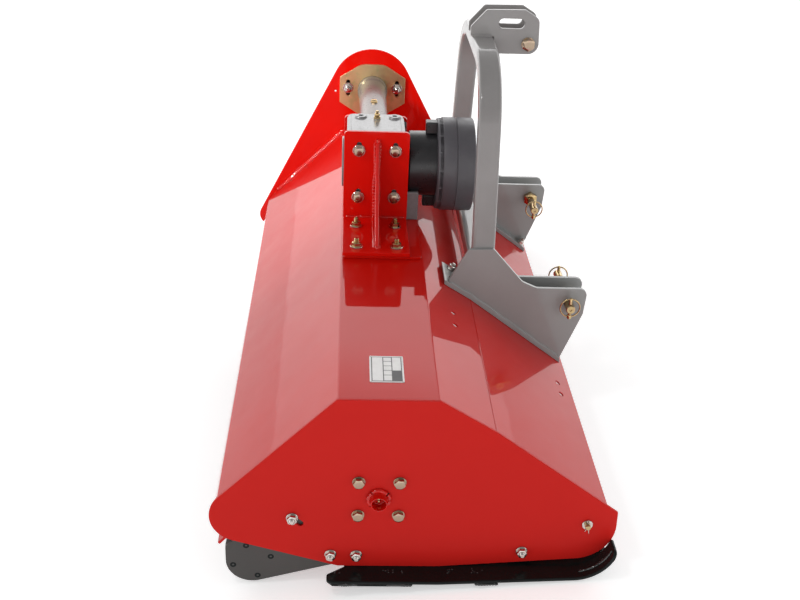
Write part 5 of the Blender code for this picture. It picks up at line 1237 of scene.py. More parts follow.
def make_end_plates():
    piece("right_plate", side_plate(right_outline(), PLATE, shared_holes()), "even_red_paint",
          (RIGHT_X - PLATE / 2, 0, 0), ("end_plate_right",), bevel=0.0007)
    holes = [*shared_holes(), circle((0, DRIVE_Z), TUBE_BORE + PLAY, MEDIUM),
             *[flange_slot(y, z) for y, z in flange_bolts()],
             *[circle(place, hole_for(M10)) for place in COVER_EARS], circle(PLATE_HOLE, PLATE_HOLE_RADIUS)]
    piece("left_plate", side_plate(left_outline(), PLATE, holes), "painted_light_red_paint",
          (LEFT_X - PLATE / 2, 0, 0), ("end_plate_left",), bevel=0.0007)


def make_scraper():
    bar = box((LEFT_X + GAP, -SCRAPER_THICKNESS / 2, -SCRAPER_WIDTH / 2),
              (PLATE_INNER_X - GAP, SCRAPER_THICKNESS / 2, SCRAPER_WIDTH / 2))
    bar.transform(Matrix.Rotation(SCRAPER_LEAN, 4, 'X'))
    piece("scraper_blade", bar, "red_paint", (0, SCRAPER_Y, SCRAPER_Z), ("scraper_bar",), bevel=0.0008)


def panel(left, right, rear, front, corner, thickness, lift):
    """Flat panel with round corners that lies at a height."""
    outline = rectangle(left, right, rear, front, corner)
    return moved(flat_solid(outline, thickness), z=lift + thickness / 2)


def make_data_plate():
    """Pale metal plate on the hood's deck, with empty fields on a dark ground and a rivet in each corner."""
    half_x, half_y, thick = 0.0515, 0.035, 0.0008
    film, margin, gap, corner = 0.00012, 0.0035, 0.002, 0.0006
    plate = panel(-half_x, half_x, -half_y, half_y, 0.003, thick, 0)
    ground = panel(margin - half_x, half_x - margin, margin - half_y, half_y - margin, 0.001, film, thick)
    x_marks = (margin + gap - half_x, -0.030, -0.012, 0.006, 0.024, half_x - margin - gap)
    y_marks = (margin + gap - half_y, -0.006, half_y - margin - gap)
    cells = [(x_marks[0], x_marks[-1], y_marks[0], y_marks[1] - gap)]
    cells += [(low + gap / 2, high - gap / 2, y_marks[1], 0.010) for low, high in zip(x_marks, x_marks[1:])]
    cells.append((x_marks[0], x_marks[3], 0.012, y_marks[-1]))
    fields = [panel(*cell, corner, film, thick + film) for cell in cells]
    rivet_in = 0.0022
    reach_x, reach_y = half_x - rivet_in, half_y - rivet_in
    dome = turned([(0, 0.0011), (0.0012, 0.0009), (0.0020, 0), (0, -0.0002)], SMALL, AS_DRAWN)
    rivets = [moved(dome, x, y, thick) for x in (-reach_x, reach_x) for y in (-reach_y, reach_y)]
    for name, mesh, finish_name, bevel in (("blank_data_plate", plate, "plate_print", 0.0002),
                                           ("data_plate_ground", ground, "plate_field", 0),
                                           ("data_plate_empty_fields", joined(*fields), "plate_print", 0),
                                           ("data_plate_rivets", joined(*rivets), "machined_steel", 0)):
        piece(name, mesh, finish_name, (*DATA_PLATE, HOOD_TOP_Z), bevel=bevel)


# Rotor bearings and the other fasteners of the end plates

def make_bearings():
    """Flange bearings, the right one with its cap, grease nipple and bead, and their bolts' heads."""
    half = BEARING_SIDE / 2
    bore = ROTOR_SHAFT + PLAY
    flange = side_plate(rectangle(-half, half, -half, half, BEARING_CORNER), BEARING_FLANGE,
                        [circle((0, 0), bore, MEDIUM)], -BEARING_FLANGE / 2)
    deep = BEARING_FLANGE + BEARING_DEPTH
    edge = 0.004
    boss = turned([(bore, -BEARING_FLANGE), (BEARING_BOSS, -BEARING_FLANGE), (BEARING_BOSS, edge - deep),
                   (BEARING_BOSS - edge, -deep), (bore, -deep)], FINE, closed=True)
    housing = joined(flange, boss)
    right = (PLATE_INNER_X - GAP, 0, ROTOR_Z)
    end = PLATE + BEARING_CAP_REACH
    floor = end - CAP_DEPTH
    mouth = CAP_MOUTH
    inner = mouth - CAP_LIP
    foot = BEARING_CAP
    cap = turned([(0, floor), (inner - 0.002, floor), (inner, floor + 0.002), (inner, end - 0.001),
                  (inner + 0.0007, end), (mouth - 0.0009, end), (mouth - 0.0002, end - 0.0005),
                  (mouth, end - 0.0014), (mouth, PLATE + 0.010), (foot - 0.0015, PLATE + 0.005),
                  (foot, PLATE + 0.002), (foot, -BEARING_FLANGE / 2), (0, -BEARING_FLANGE / 2)], FINE)
    bead = round_weld(PLATE + GAP + 0.0025, BEARING_CAP - 0.001, 40, "bearing_cap")
    piece("bearing_housing_right_cap", joined(housing, cap), "weld_red_paint", right,
          ("bearing_housing_right",), bevel=0.0006)
    piece("bearing_cap_weld", bead, "weld_red_paint", right)
    piece("bearing_housing_left_flange", mirrored(housing), "red_paint", (LEFT_X + GAP, 0, ROTOR_Z),
          ("bearing_housing_left",), bevel=0.0008)
    tip = NIPPLE_REACH
    neck = 0.7 * NIPPLE
    ball = turned([(0, tip), (neck * 0.7, tip), (neck, 0.93 * tip), (neck, 0.80 * tip),
                   (0.6 * neck, 0.66 * tip), (0.6 * neck, 0.56 * tip), (NIPPLE, 0.45 * tip),
                   (NIPPLE, 0.28 * tip), (0, 0.28 * tip)], SMALL)
    piece("grease_nipple", joined(hex_head(*NIPPLE_HEX), ball), "gold_zinc", (right[0] + floor, 0, ROTOR_Z))
    heads = [joined(moved(spun(hex_head(*BEARING_HEAD)), BEARING_HEAD_LIFT), washer_disc(*BEARING_SEAT))
             for _ in bearing_bolts()]
    heads = [moved(head, 0, y, z) for head, (y, z) in zip(heads, bearing_bolts())]
    for side, direction, face in (("right", 1, RIGHT_X + GAP), ("left", -1, LEFT_OUTER_X - GAP)):
        piece("bearing_bolts_" + side, joined(*[moved(head, turn=OUTWARD[direction]) for head in heads]),
              "beige_zinc", (face, 0, 0))


def make_plate_bolts():
    """Nuts with their shanks' ends on the end plates, and the heads behind the plates."""
    places = [*ARM_BOLTS, *SKID_BOLTS]
    for side, face, inner, direction in (("right", RIGHT_X + GAP, PLATE_INNER_X - PLATE - 2 * GAP, 1),
                                         ("left", LEFT_OUTER_X - GAP, LEFT_X + PLATE + 2 * GAP, -1)):
        nuts = [moved(nut_end(M12, 0.004, 0.0125), face, y, z, OUTWARD[direction]) for y, z in places]
        heads = [moved(head_bolt(M12), inner, y, z, OUTWARD[-direction]) for y, z in places]
        piece("plate_bolts_" + side, joined(*nuts, *heads), "bright_zinc")


# Gearbox and its brackets

def make_gearbox():
    """Casting with its lid and foot, then necks, bosses, lid screws, breather, plugs and rear cap."""
    half = GEARBOX_HALF
    low = GEARBOX_LOW_Z - DRIVE_Z
    high = GEARBOX_HIGH_Z - DRIVE_Z
    lid = 0.005

    def block(inset, bottom, top):
        return panel(-half + inset, half - inset, GEARBOX_REAR_Y + inset, GEARBOX_FRONT_Y - inset,
                     GEARBOX_CORNER - inset, top - bottom, bottom)

    body = block(0.0, low, high - lid)
    cover = block(0.003, high - lid - 0.001, high)
    ledge = block(0.030, high - 0.001, high + 0.002)
    bore = INPUT_SHAFT + PLAY
    front = GEARBOX_FRONT_Y
    neck = turned([(bore, INPUT_NECK_Y), (INPUT_NECK - 0.002, INPUT_NECK_Y),
                   (INPUT_NECK, INPUT_NECK_Y - 0.002), (INPUT_NECK, front + 0.010),
                   (INPUT_NECK + 0.001, front + 0.004), (INPUT_NECK + 0.006, front - 0.004),
                   (bore, front - 0.004)], FINE, ALONG_Y, closed=True)
    bore = CROSS_SHAFT + PLAY
    end = -half - OUTPUT_NECK_REACH
    output = turned([(bore, 0.004 - half), (OUTPUT_NECK, 0.004 - half), (OUTPUT_NECK, end + 0.002),
                     (OUTPUT_NECK - 0.002, end), (bore, end)], FINE, closed=True)
    foot = box((-half + PLAY, front - GEARBOX_WALL, FOOT_LOW_Z - DRIVE_Z),
               (half - PLAY, GEARBOX_FOOT_Y, -GEARBOX_FOOT_FALL))
    guard = rod(COLLAR_RADIUS + 2 * GAP, SKIRT_Y - PLAY, GEARBOX_FOOT_Y + CUTTER_REACH, FINE, ALONG_Y)
    foot = cut(foot, guard)
    piece("gearbox_casting", joined(body, cover, ledge, foot), "grey_cast_iron", DRIVE, ("gearbox_housing",),
          bevel=0.0022, segments=3)
    piece("gearbox_necks", joined(neck, output), "grey_cast_iron", DRIVE)
    wide, rise, bore = 0.0160, TOP_BOSS / 2, 0.0060
    boss = turned([(bore, 0.0), (bore, rise - 0.001), (bore + 0.001, rise), (wide - 0.002, rise),
                   (wide, rise - 0.002), (wide + 0.002, -0.003), (bore, -0.003)],
                  SMALL, AS_DRAWN, closed=True)
    low_boss = turned([(0.0052, -0.002), (0.0052, 0.0016), (0.0058, 0.0022), (0.0105, 0.0022),
                       (0.0120, 0.0008), (0.0126, -0.002)], SMALL, AS_DRAWN, closed=True)
    bosses = [moved(boss, x, y, high) for x, y in TOP_BOSSES[:2]]
    bosses += [moved(low_boss, x, y, high) for x, y in TOP_BOSSES[2:]]
    piece("gearbox_bosses", joined(*bosses), "grey_cast_iron", DRIVE)
    socket = moved(hex_head(0.010, 0.004, 0.0032), turn=UP)
    flush = moved(loft([ring(0.0048, 0), ring(0.0048, 0.0012), ring(0.0042, 0.0018), ring(0.0026, 0.0018),
                        ring(0.0024, 0.0004)]), turn=UP)
    screws = [moved(socket, x, y, high + 0.0005) for x, y in TOP_BOSSES[:2]]
    screws += [moved(flush, x, y, high) for x, y in TOP_BOSSES[2:]]
    piece("gearbox_lid_screws", joined(*screws), "dark_cast_iron", DRIVE)
    wide = BREATHER_RADIUS
    rise = BREATHER_HEIGHT
    hexagon = moved(hex_head(1.9 * wide, 0.35 * rise), turn=UP)
    stack = turned([(0, rise), (0.40 * wide, rise), (0.55 * wide, 0.93 * rise), (0.55 * wide, 0.86 * rise),
                    (0.36 * wide, 0.82 * rise), (0.36 * wide, 0.74 * rise), (0.72 * wide, 0.70 * rise),
                    (0.78 * wide, 0.64 * rise), (0.78 * wide, 0.42 * rise), (0.62 * wide, 0.36 * rise),
                    (0.62 * wide, 0.2 * rise), (0, 0.2 * rise)], SMALL, AS_DRAWN)
    seat = turned([(0, 0.003), (1.15 * wide, 0.003), (1.3 * wide, 0), (0, -0.002)], SMALL, AS_DRAWN)
    piece("gearbox_breather", moved(joined(hexagon, stack), *BREATHER, high + 0.002), "gold_zinc", DRIVE)
    piece("gearbox_breather_seat", moved(seat, *BREATHER, high), "grey_cast_iron", DRIVE)
    plug = joined(hex_head(0.014, 0.006), washer_disc(0.010, 0.003, 0.0015))
    plugs = [moved(plug, x, front + 0.0002, GEARBOX_PLUG[1], FORWARD)
             for x in (GEARBOX_PLUG[0], -GEARBOX_PLUG[0])]
    piece("gearbox_plugs", joined(*plugs), "dark_cast_iron", DRIVE)
    face = -REAR_CAP_THICKNESS
    cap = turned([(0, REAR_SPIGOT), (REAR_BORE, REAR_SPIGOT), (REAR_BORE, 0), (REAR_CAP, 0),
                  (REAR_CAP, face + 0.0015), (REAR_CAP - 0.0015, face), (REAR_CAP - 0.010, face),
                  (REAR_CAP - 0.012, face + 0.002), (0, face + 0.002)], FINE, ALONG_Y)
    piece("gearbox_round_cap", cap, "grey_cast_iron", (GEARBOX_X, GEARBOX_REAR_Y - GAP, DRIVE_Z),
          ("gearbox_rear_cover",))


def make_side_bolts():
    """Bolt heads on round washers that clamp the gearbox between its brackets."""
    face = GEARBOX_HALF + BRACKET + 2 * GAP
    heads = []
    washers = []
    for direction in (1, -1):
        for y, z in side_bolts():
            head = moved(spun(hex_head(*SIDE_HEAD)), WASHER_THICKNESS)
            heads.append(moved(head, direction * face, y, z, OUTWARD[direction]))
            washers.append(moved(washer_disc(*SIDE_WASHER), direction * face, y, z, OUTWARD[direction]))
    piece("gearbox_side_bolts", joined(*heads), "beige_zinc", DRIVE)
    piece("gearbox_side_washers", joined(*washers), "bright_zinc", DRIVE)


def make_bracket(side, direction):
    """Bracket beside the gearbox: upright plate, foot, rib, their beads, and the studs through the foot."""
    half = BRACKET / 2
    name = "gearbox_bracket_%s_" % side
    right = direction > 0
    top_z = BRACKET_TOP_Z if right else BRACKET_TOP_Z - LEFT_BRACKET_DROP
    rib_top = RIB_TOP_Z if right else DRIVE_Z - TUBE_WIDE - RIB_CLEAR
    outline = rounded([(BRACKET_REAR_Y, FOOT_LOW_Z + half, 0), (BRACKET_FRONT_Y, FOOT_LOW_Z + half, 0),
                       (BRACKET_FRONT_Y, top_z, BRACKET_CORNER), (BRACKET_REAR_Y, top_z, BRACKET_CORNER)])
    holes = [slot((y, DRIVE_Z + z), (y, DRIVE_Z + z + SIDE_SLOT_RISE), hole_for(M12))
             for y, z in side_bolts()]
    if not right:
        holes.append(circle((0, DRIVE_Z), OUTPUT_NECK + PLAY, FINE))
    plate = side_plate(outline, BRACKET, holes, direction * half)
    inner, outer = sorted((direction * PLAY, direction * FOOT_REACH))
    foot = box((inner, BRACKET_REAR_Y + PLAY, FOOT_LOW_Z), (outer, BRACKET_FRONT_Y - PLAY, FOOT_TOP_Z))
    tip = direction * RIB_REACH
    rib = flat_solid([(direction * half, FOOT_LOW_Z + half), (tip, FOOT_LOW_Z + half),
                      (tip, FOOT_TOP_Z + half), (direction * (BRACKET + half), rib_top),
                      (direction * half, rib_top)], BRACKET)
    rib.transform(Matrix.Rotation(math.pi / 2, 4, 'X'))
    place = (bracket_x(direction), 0, 0)
    piece(name + "plates", joined(plate, foot), "painted_light_red_paint", place, ("gearbox_bracket_" + side,),
          bevel=0.0010)
    piece(name + "rib", rib, "weld_red_paint", place, bevel=0.0032, segments=4)
    wall = direction * (BRACKET + BEAD_LIFT)
    floor = FOOT_TOP_Z + BEAD_LIFT
    beads = []
    for y in (-half - BEAD_LIFT, half + BEAD_LIFT):
        beads.append(weld([(wall, y, floor), (wall, y, rib_top - 0.004)], "rib_wall"))
        beads.append(weld([(wall, y, floor), (tip, y, floor)], "rib_foot"))
    across = ((wall, -half - 0.003, half + 0.003, rib_top, "rib_top"), (tip, -half, half, floor, "rib_end"),
              (wall, BRACKET_REAR_Y + 0.006, BRACKET_FRONT_Y - 0.006, floor, "bracket_foot"))
    beads += [weld([(x, rear, z), (x, front, z)], bead) for x, rear, front, z, bead in across]
    piece(name + "welds", joined(*beads), "weld_red_paint", place)
    places = [(direction * x, y) for x in (FOOT_BOLT_NEAR, FOOT_BOLT_FAR)
              for y in (-FOOT_BOLT_Y, FOOT_BOLT_Y)]
    height = FOOT_TOP_Z + GAP
    washers = [moved(washer_disc(*FOOT_WASHER), x, y, height, UP) for x, y in places]
    washers += [moved(head_bolt(M12), x, y, HOOD_TOP_Z - SHEET - GAP, DOWN) for x, y in places]
    piece(name + "washers", joined(*washers), "bright_zinc", place)
    nuts = [joined(moved(spun(hex_head(*FOOT_NUT)), WASHER_THICKNESS), thread(*FOOT_STUD)) for _ in places]
    nuts = [moved(nut, x, y, height, UP) for nut, (x, y) in zip(nuts, places)]
    piece(name + "nuts", joined(*nuts), "gold_zinc", place)


# Shaft tube, belt cover and guard

def make_shaft_tube():
    """Tapered tube with its oil plug, and the flange that holds it to the left plate."""
    bore = CROSS_SHAFT + PLAY
    start = TUBE_START_X
    end = TUBE_END_X
    wide = end + TUBE_STRAIGHT
    profile = [(TUBE_NARROW - 0.002, start), (TUBE_NARROW, start - 0.002),
               (TUBE_NARROW + 0.002, start - 0.020), (TUBE_WIDE - 0.004, wide + 0.012),
               (TUBE_WIDE - 0.0022, wide + 0.003), (TUBE_WIDE - 0.0004, wide), (TUBE_WIDE, wide - 0.002),
               (TUBE_WIDE, end), (bore, end), (bore, start)]
    place = (0, 0, DRIVE_Z)
    piece("tube_casting", turned(profile, FINE, closed=True), "tube_paint", place, ("shaft_tube",))
    plug = joined(hex_head(0.017, 0.008), washer_disc(0.0105, 0.004, 0.002))
    share = (start - PLUG_X) / (start - wide)
    radius = TUBE_NARROW + share * (TUBE_WIDE - TUBE_NARROW)
    piece("tube_oil_plug", moved(plug, PLUG_X, 0, radius - 0.0012, UP), "gold_zinc", place)
    corners = []
    for y, z in ((1, -1), (1, 1), (-1, 1), (-1, -1)):
        pair = [(y * FLANGE_HALF_Y, z * FLANGE_SIDE_Z, 0.004), (y * FLANGE_TOP_Y, z * FLANGE_TOP_Z, 0.050)]
        corners += pair if y * z > 0 else pair[::-1]
    holes = [circle((0, 0), TUBE_WIDE + GAP, FINE),
             *[flange_slot(y, FLANGE_BOLT_Z) for y in (-FLANGE_BOLT_Y, FLANGE_BOLT_Y)]]
    piece("flange_plate", side_plate(rounded(corners), FLANGE, holes), "yellow_zinc",
          (TUBE_END_X + FLANGE / 2, 0, DRIVE_Z), ("tube_flange",), bevel=0.0006)
    face = TUBE_END_X + FLANGE + GAP
    clamps = [moved(nut_end(FLANGE_NUT, 0.006, 0.0168), face, y, z) for y, z in flange_bolts()]
    clamps += [moved(head_bolt(M12), LEFT_OUTER_X - GAP, y, z, OUTWARD[-1]) for y, z in flange_bolts()]
    piece("flange_bolts", joined(*clamps), "bright_zinc")


def make_belt_cover():
    def layer(inset, x):
        outline = hull_of_circles((0, ROTOR_Z), COVER_LOW_RADIUS - inset,
                                  (0, DRIVE_Z), COVER_TOP_RADIUS - inset)
        return [(x, y, z) for y, z in outline]

    def side(inset, radius):
        """Layers from the open side round the far edge."""
        turns = [math.pi / 2 * i / 6 for i in range(7)]
        return [layer(inset, 0), *[layer(inset + radius * (1 - math.cos(turn)),
                                         -(COVER_DEPTH - inset) + radius - radius * math.sin(turn))
                                   for turn in turns]]

    shell = loft(side(COVER_WALL, COVER_EDGE - COVER_WALL)[::-1] + side(0, COVER_EDGE))
    sheet = COVER_EAR_THICKNESS
    ears = [side_plate(slot((0.8 * y, z if y else z + COVER_EAR), (y, z), COVER_EAR, 24), sheet, x=-sheet / 2)
            for y, z in COVER_EARS]
    place = (LEFT_OUTER_X - GAP, 0, 0)
    piece("belt_cover_shell", shell, "painted_light_red_paint", place, ("belt_cover",))
    piece("belt_cover_ears", joined(*ears), "painted_light_red_paint", place, bevel=0.0006)
    screws = [moved(head_bolt(M10), -sheet - GAP, y, z, OUTWARD[-1]) for y, z in COVER_EARS]
    nuts = [moved(nut_end(M10, 0.003), PLATE + 2 * GAP, y, z) for y, z in COVER_EARS]
    piece("belt_cover_screws", joined(*screws, *nuts), "bright_zinc", place)


def make_guard():
    """Collar round the input neck, drum with its stepped rim and inner ribs, and the two latches."""
    wall = GUARD_WALL
    rear = INPUT_NECK_Y + GAP
    radius = COLLAR_RADIUS
    edge = 0.003
    collar = [(radius - 2 * edge, rear), (radius - 2 * edge, SKIRT_Y), (radius - edge, SKIRT_Y),
              (radius - 0.3 * edge, SKIRT_Y + 0.3 * edge), (radius, SKIRT_Y + edge),
              (radius, COLLAR_FRONT_Y - 0.001), (radius - 0.001, COLLAR_FRONT_Y),
              (radius - wall, COLLAR_FRONT_Y), (radius - wall, rear + wall), (COLLAR_HOLE, rear + wall),
              (COLLAR_HOLE, rear)]
    piece("guard_collar", turned(collar, FINE, ALONG_Y, closed=True), "black_collar_plastic", DRIVE,
          ("pto_guard_collar",))
    inner = COLLAR_RADIUS + GAP
    lip = DRUM_RADIUS - GUARD_LIP
    big = DRUM_RADIUS
    rear = DRUM_REAR_Y
    front = DRUM_FRONT_Y
    step = rear + 0.014
    seam = rear + 0.050
    drum = [(inner, rear), (big - 0.006, rear), (big - 0.0042, rear + 0.0008), (big - 0.003, rear + 0.003),
            (big - 0.003, step - 0.001), (big - 0.0005, step), (big, step + 0.001), (big, seam - 0.0030),
            (big - 0.0010, seam - 0.0022), (big - 0.0010, seam - 0.0008), (big + 0.0004, seam),
            (big + 0.0004, seam + 0.0014), (big, seam + 0.0022),
            (big, front - 0.005), (big - 0.0015, front - 0.0015), (big - 0.005, front), (lip, front),
            (lip, front - wall), (big - wall - 0.002, front - wall), (big - wall, front - wall - 0.002),
            (big - wall, rear + wall + 0.002), (big - wall - 0.002, rear + wall), (inner, rear + wall)]
    piece("guard_drum", turned(drum, FINE + SMALL, ALONG_Y, closed=True), "black_plastic", DRIVE,
          ("pto_guard_drum",))
    half = LATCH_WIDTH / 2
    latches = []
    for side in (-1, 1):
        low, high = sorted((side * (COLLAR_RADIUS + GAP), side * LATCH_TOP))
        latches.append(box((-half, LATCH_REAR_Y, low), (half, DRUM_REAR_Y + wall / 2, high)))
    piece("guard_latches", joined(*latches), "black_collar_plastic", DRIVE, bevel=0.0035, segments=4)
    bar = box((-0.0012, rear + wall, COLLAR_RADIUS + 2 * wall), (0.0012, front - 0.030, big - wall + 0.0005))
    turns = [Matrix.Rotation(2 * math.pi * (i + 0.5) / GUARD_RIBS, 4, 'Y') for i in range(GUARD_RIBS)]
    piece("guard_inner_ribs", joined(*[moved(bar, turn=turn) for turn in turns]), "black_plastic", DRIVE)


def make_input_shaft():
    """Splined shaft with its turned step and locking groove."""
    root = INPUT_SHAFT * (1 - SPLINE_DEPTH_SHARE)
    pitch = 2 * math.pi / SPLINES
    corners = ((-SPLINE_TIP_SHARE, INPUT_SHAFT), (SPLINE_TIP_SHARE, INPUT_SHAFT), (SPLINE_FOOT_SHARE, root),
               (1 - SPLINE_FOOT_SHARE, root), (1 - SPLINE_TIP_SHARE, INPUT_SHAFT))
    star = [((tooth + first + (second - first) * k / 4) * pitch, low + (high - low) * k / 4)
            for tooth in range(SPLINES) for (first, low), (second, high) in zip(corners, corners[1:])
            for k in range(4)]
    start = INPUT_NECK_Y + 0.014
    end = INPUT_SHAFT_Y
    groove = end - 0.038

    def layer(y, most):
        return [(min(most, r) * math.cos(a), y, min(most, r) * math.sin(a)) for a, r in star]

    neck = 0.86 * INPUT_SHAFT
    stations = [(start - 0.006, root), (start, INPUT_SHAFT), (groove, INPUT_SHAFT), (groove + 0.001, neck),
                (groove + 0.006, neck), (groove + 0.007, INPUT_SHAFT), (end - 0.0025, INPUT_SHAFT),
                (end, neck)]
    spline = loft([layer(y, most) for y, most in stations])
    bar = turned([(0, start - 0.002), (INPUT_SHAFT, start - 0.002), (INPUT_SHAFT, 0.06), (0, 0.06)],
                 FINE, ALONG_Y)
    piece("drive_input_shaft", joined(spline, bar), "machined_steel", DRIVE, ("pto_shaft",), "input_drive")


# Roller and skids

def countersunk(radius):
    """Flat screw head with a hexagon socket, level with its plate at X = 0."""
    return loft([ring(radius, -0.0005), ring(radius, 0.0003), ring(0.55 * radius, 0.0003),
                 hexagon_ring(0.36 * radius, 0.0003, 0), hexagon_ring(0.34 * radius, -0.0003, 0)])


def make_roller_arms():
    holes = [circle(place, hole_for(M12), SMALL) for place in ARM_BOLTS]
    arm = side_plate(arm_outline(), PLATE, holes)
    screws = joined(*[moved(countersunk(0.0065), PLATE / 2, y, z) for y, z in roller_bolts()])
    for side, x, plate, heads in (("right", ARM_X, arm, screws),
                                  ("left", LEFT_X + GAP + PLATE / 2, mirrored(arm), mirrored(screws))):
        piece("roller_arm_%s_plate" % side, plate, "dark_grey_paint", (x, 0, 0), ("roller_arm_" + side,),
              bevel=0.0007)
        piece("roller_arm_%s_screws" % side, heads, "gloss_black_paint", (x, 0, 0))


def make_roller():
    """Roller tube with its stub shafts and beads, and its two bearings."""
    radius = ROLLER_RADIUS
    half = ROLLER_HALF
    span = ROLLER_SPAN
    stub = ROLLER_STUB
    middle = (MIDDLE_X, ROLLER_Y, ROLLER_Z)
    profile = [(0, span), (stub - 0.001, span), (stub, span - 0.001), (stub, half - 0.004),
               (radius - 0.007, half - 0.004), (radius - 0.006, half), (radius - 0.001, half),
               (radius, half - 0.001)]
    whole = profile + [(r, -x) for r, x in profile[::-1]]
    rounds = ((radius - 0.0065, FINE, "roller_disc"), (stub + 0.001, SMALL, "roller_stub"))
    beads = [round_weld(side * (half - 0.0035), at, sides, bead)
             for side in (-1, 1) for at, sides, bead in rounds]
    piece("roller_tube", turned(whole, FINE + SMALL), "dark_grey_paint", middle, ("rear_roller",), "roller")
    piece("roller_welds", joined(*beads), "dark_grey_paint", middle, body="roller")
    outer = (PLATE_INNER_X - LEFT_X) / 2 - 2 * GAP - PLATE
    flange_end = outer - ROLLER_BEARING_FLANGE
    boss_end = flange_end - ROLLER_BEARING_DEPTH
    bore = ROLLER_STUB + PLAY
    wide = ROLLER_BEARING_RADIUS
    boss = ROLLER_BEARING_BOSS
    stack = turned([(bore, outer), (wide - 0.001, outer), (wide, outer - 0.001), (wide, flange_end + 0.001),
                    (wide - 0.001, flange_end), (boss + 0.003, flange_end), (boss, flange_end - 0.003),
                    (boss, boss_end + 0.002), (boss - 0.002, boss_end), (bore, boss_end)], FINE, closed=True)
    for side, mesh in (("right", stack), ("left", mirrored(stack))):
        piece("roller_bearing_%s_housing" % side, mesh, "dark_grey_paint", middle,
              ("roller_bearing_" + side,))


def skid_sole():
    """Right sole with its ears and wear strip, with the end plate's outer face at X = 0."""
    sole = side_plate(skid_section(), SOLE_IN + SOLE_OUT, x=(SOLE_OUT - SOLE_IN) / 2)
    rear = SOLE_REAR_OUT_Y
    left = -SOLE_IN - SOLE_CUT
    right = SOLE_OUT + SOLE_CUT
    bend = arc((SOLE_OUT - SOLE_CORNER, rear + SOLE_CORNER), SOLE_CORNER, 0, math.radians(-75), 5)
    corner = flat_solid([(left, rear - SOLE_CUT), (right, rear - SOLE_CUT), (right, rear + SOLE_CORNER),
                         *bend, (SOLE_OUT / 2, rear), (0, SOLE_REAR_IN_Y), (left, SOLE_REAR_IN_Y)],
                        SOLE_CUT)
    nose = box((left, SOLE_NOSE_Y, SOLE_NOSE_IN_Z), (GAP, NOSE_CORNER[0] + SOLE_CUT, TOP_Z / 2))
    side = SOLE_OUT - SOLE_NOSE_CORNER
    bend = arc((side, -SOLE_NOSE_CORNER), SOLE_NOSE_CORNER, math.pi / 2, -math.pi / 2, 6)
    tip = flat_solid([*bend, (right, -SOLE_NOSE_CORNER), (right, SOLE_CUT), (side, SOLE_CUT)], SOLE_CUT)
    y, z = turned_point((SOLE_NOSE_Y, NOSE_CENTRE_Z), SOLE_NOSE_RADIUS, SOLE_NOSE_TURN - math.pi / 2)
    tip = moved(tip, 0, y, z, Matrix.Rotation(SOLE_NOSE_TURN, 4, 'X'))
    sole = cut(sole, moved(corner, z=SOLE_LOW_Z), nose, tip)
    ear_x = -PLATE - GAP - PLATE / 2
    ears = [side_plate(ear_outline(span, place), PLATE, x=ear_x)
            for span, place in zip((EAR_REAR, EAR_FRONT), SKID_BOLTS)]
    inset = WEAR_STRIP_INSET
    edge = SOLE_OUT - inset
    strip = rounded([(-WEAR_STRIP_IN, SOLE_REAR_IN_Y + inset, 0), (0.0, SOLE_REAR_IN_Y + inset, 0),
                     (SOLE_OUT / 2, rear + inset, 0),
                     (edge - SOLE_CORNER, rear + inset, inset), (edge, rear + SOLE_CORNER + inset, inset),
                     (edge, WEAR_STRIP_FRONT_Y, WEAR_STRIP_CORNER), (-WEAR_STRIP_IN, WEAR_STRIP_FRONT_Y, 0)])
    strip = moved(flat_solid(strip, WEAR_STRIP), z=SOLE_LOW_Z + GAP - WEAR_STRIP / 2)
    return sole, joined(*ears, strip)


def skid_welds():
    """Beads between the wear strip and the sole and along the sole's edge, spatter, and one in the nose."""
    def rise(y):
        return max(0.0, y - BOTTOM_FRONT_Y) * math.tan(SOLE_RISE)

    def bead(x, start, end, z, name):
        return weld([(x, start, z), (x, end, z)], name)

    beads = [bead(SOLE_OUT - WEAR_STRIP_INSET, start, end, SOLE_LOW_Z, "wear_strip")
             for start, end in ((-0.080, -0.040), (0.020, 0.062))]
    beads += [bead(SOLE_OUT - 0.001, start, end, SOLE_LOW_Z + rise(start), "sole_edge")
              for start, end in ((-0.062, -0.052), (0.055, 0.075), (0.205, 0.255))]
    for middle, spread, count in SPATTER:
        for _ in range(count):
            y = middle + RANDOM.uniform(-spread, spread)
            x = RANDOM.uniform(*SPATTER_X)
            beads.append(bead(x, y - SPATTER_HALF, y + SPATTER_HALF, SOLE_TOP_Z + rise(middle), "spatter"))
    curve = []
    for i in range(16):
        angle = SOLE_RISE + (SOLE_NOSE_TURN - SOLE_RISE) * (0.12 + 0.055 * i) - math.pi / 2
        curve.append((0.031, *turned_point((SOLE_NOSE_Y, NOSE_CENTRE_Z), SOLE_NOSE_RADIUS - SOLE, angle)))
    beads.append(weld(curve, "skid_nose"))
    return joined(*beads)


def make_skids():
    parts = (*skid_sole(), skid_welds())
    for side, x in (("right", RIGHT_X), ("left", LEFT_OUTER_X)):
        sole, rest, beads = parts if side == "right" else [mirrored(mesh) for mesh in parts]
        piece("skid_%s_sole" % side, sole, "gloss_black_paint", (x, 0, 0), ("skid_" + side,), bevel=0.0034,
              segments=5, angle=50)
        piece("skid_%s_ears" % side, rest, "gloss_black_paint", (x, 0, 0), bevel=0.0012, segments=3)
        piece("skid_%s_welds" % side, beads, "gloss_black_weld", (x, 0, 0))


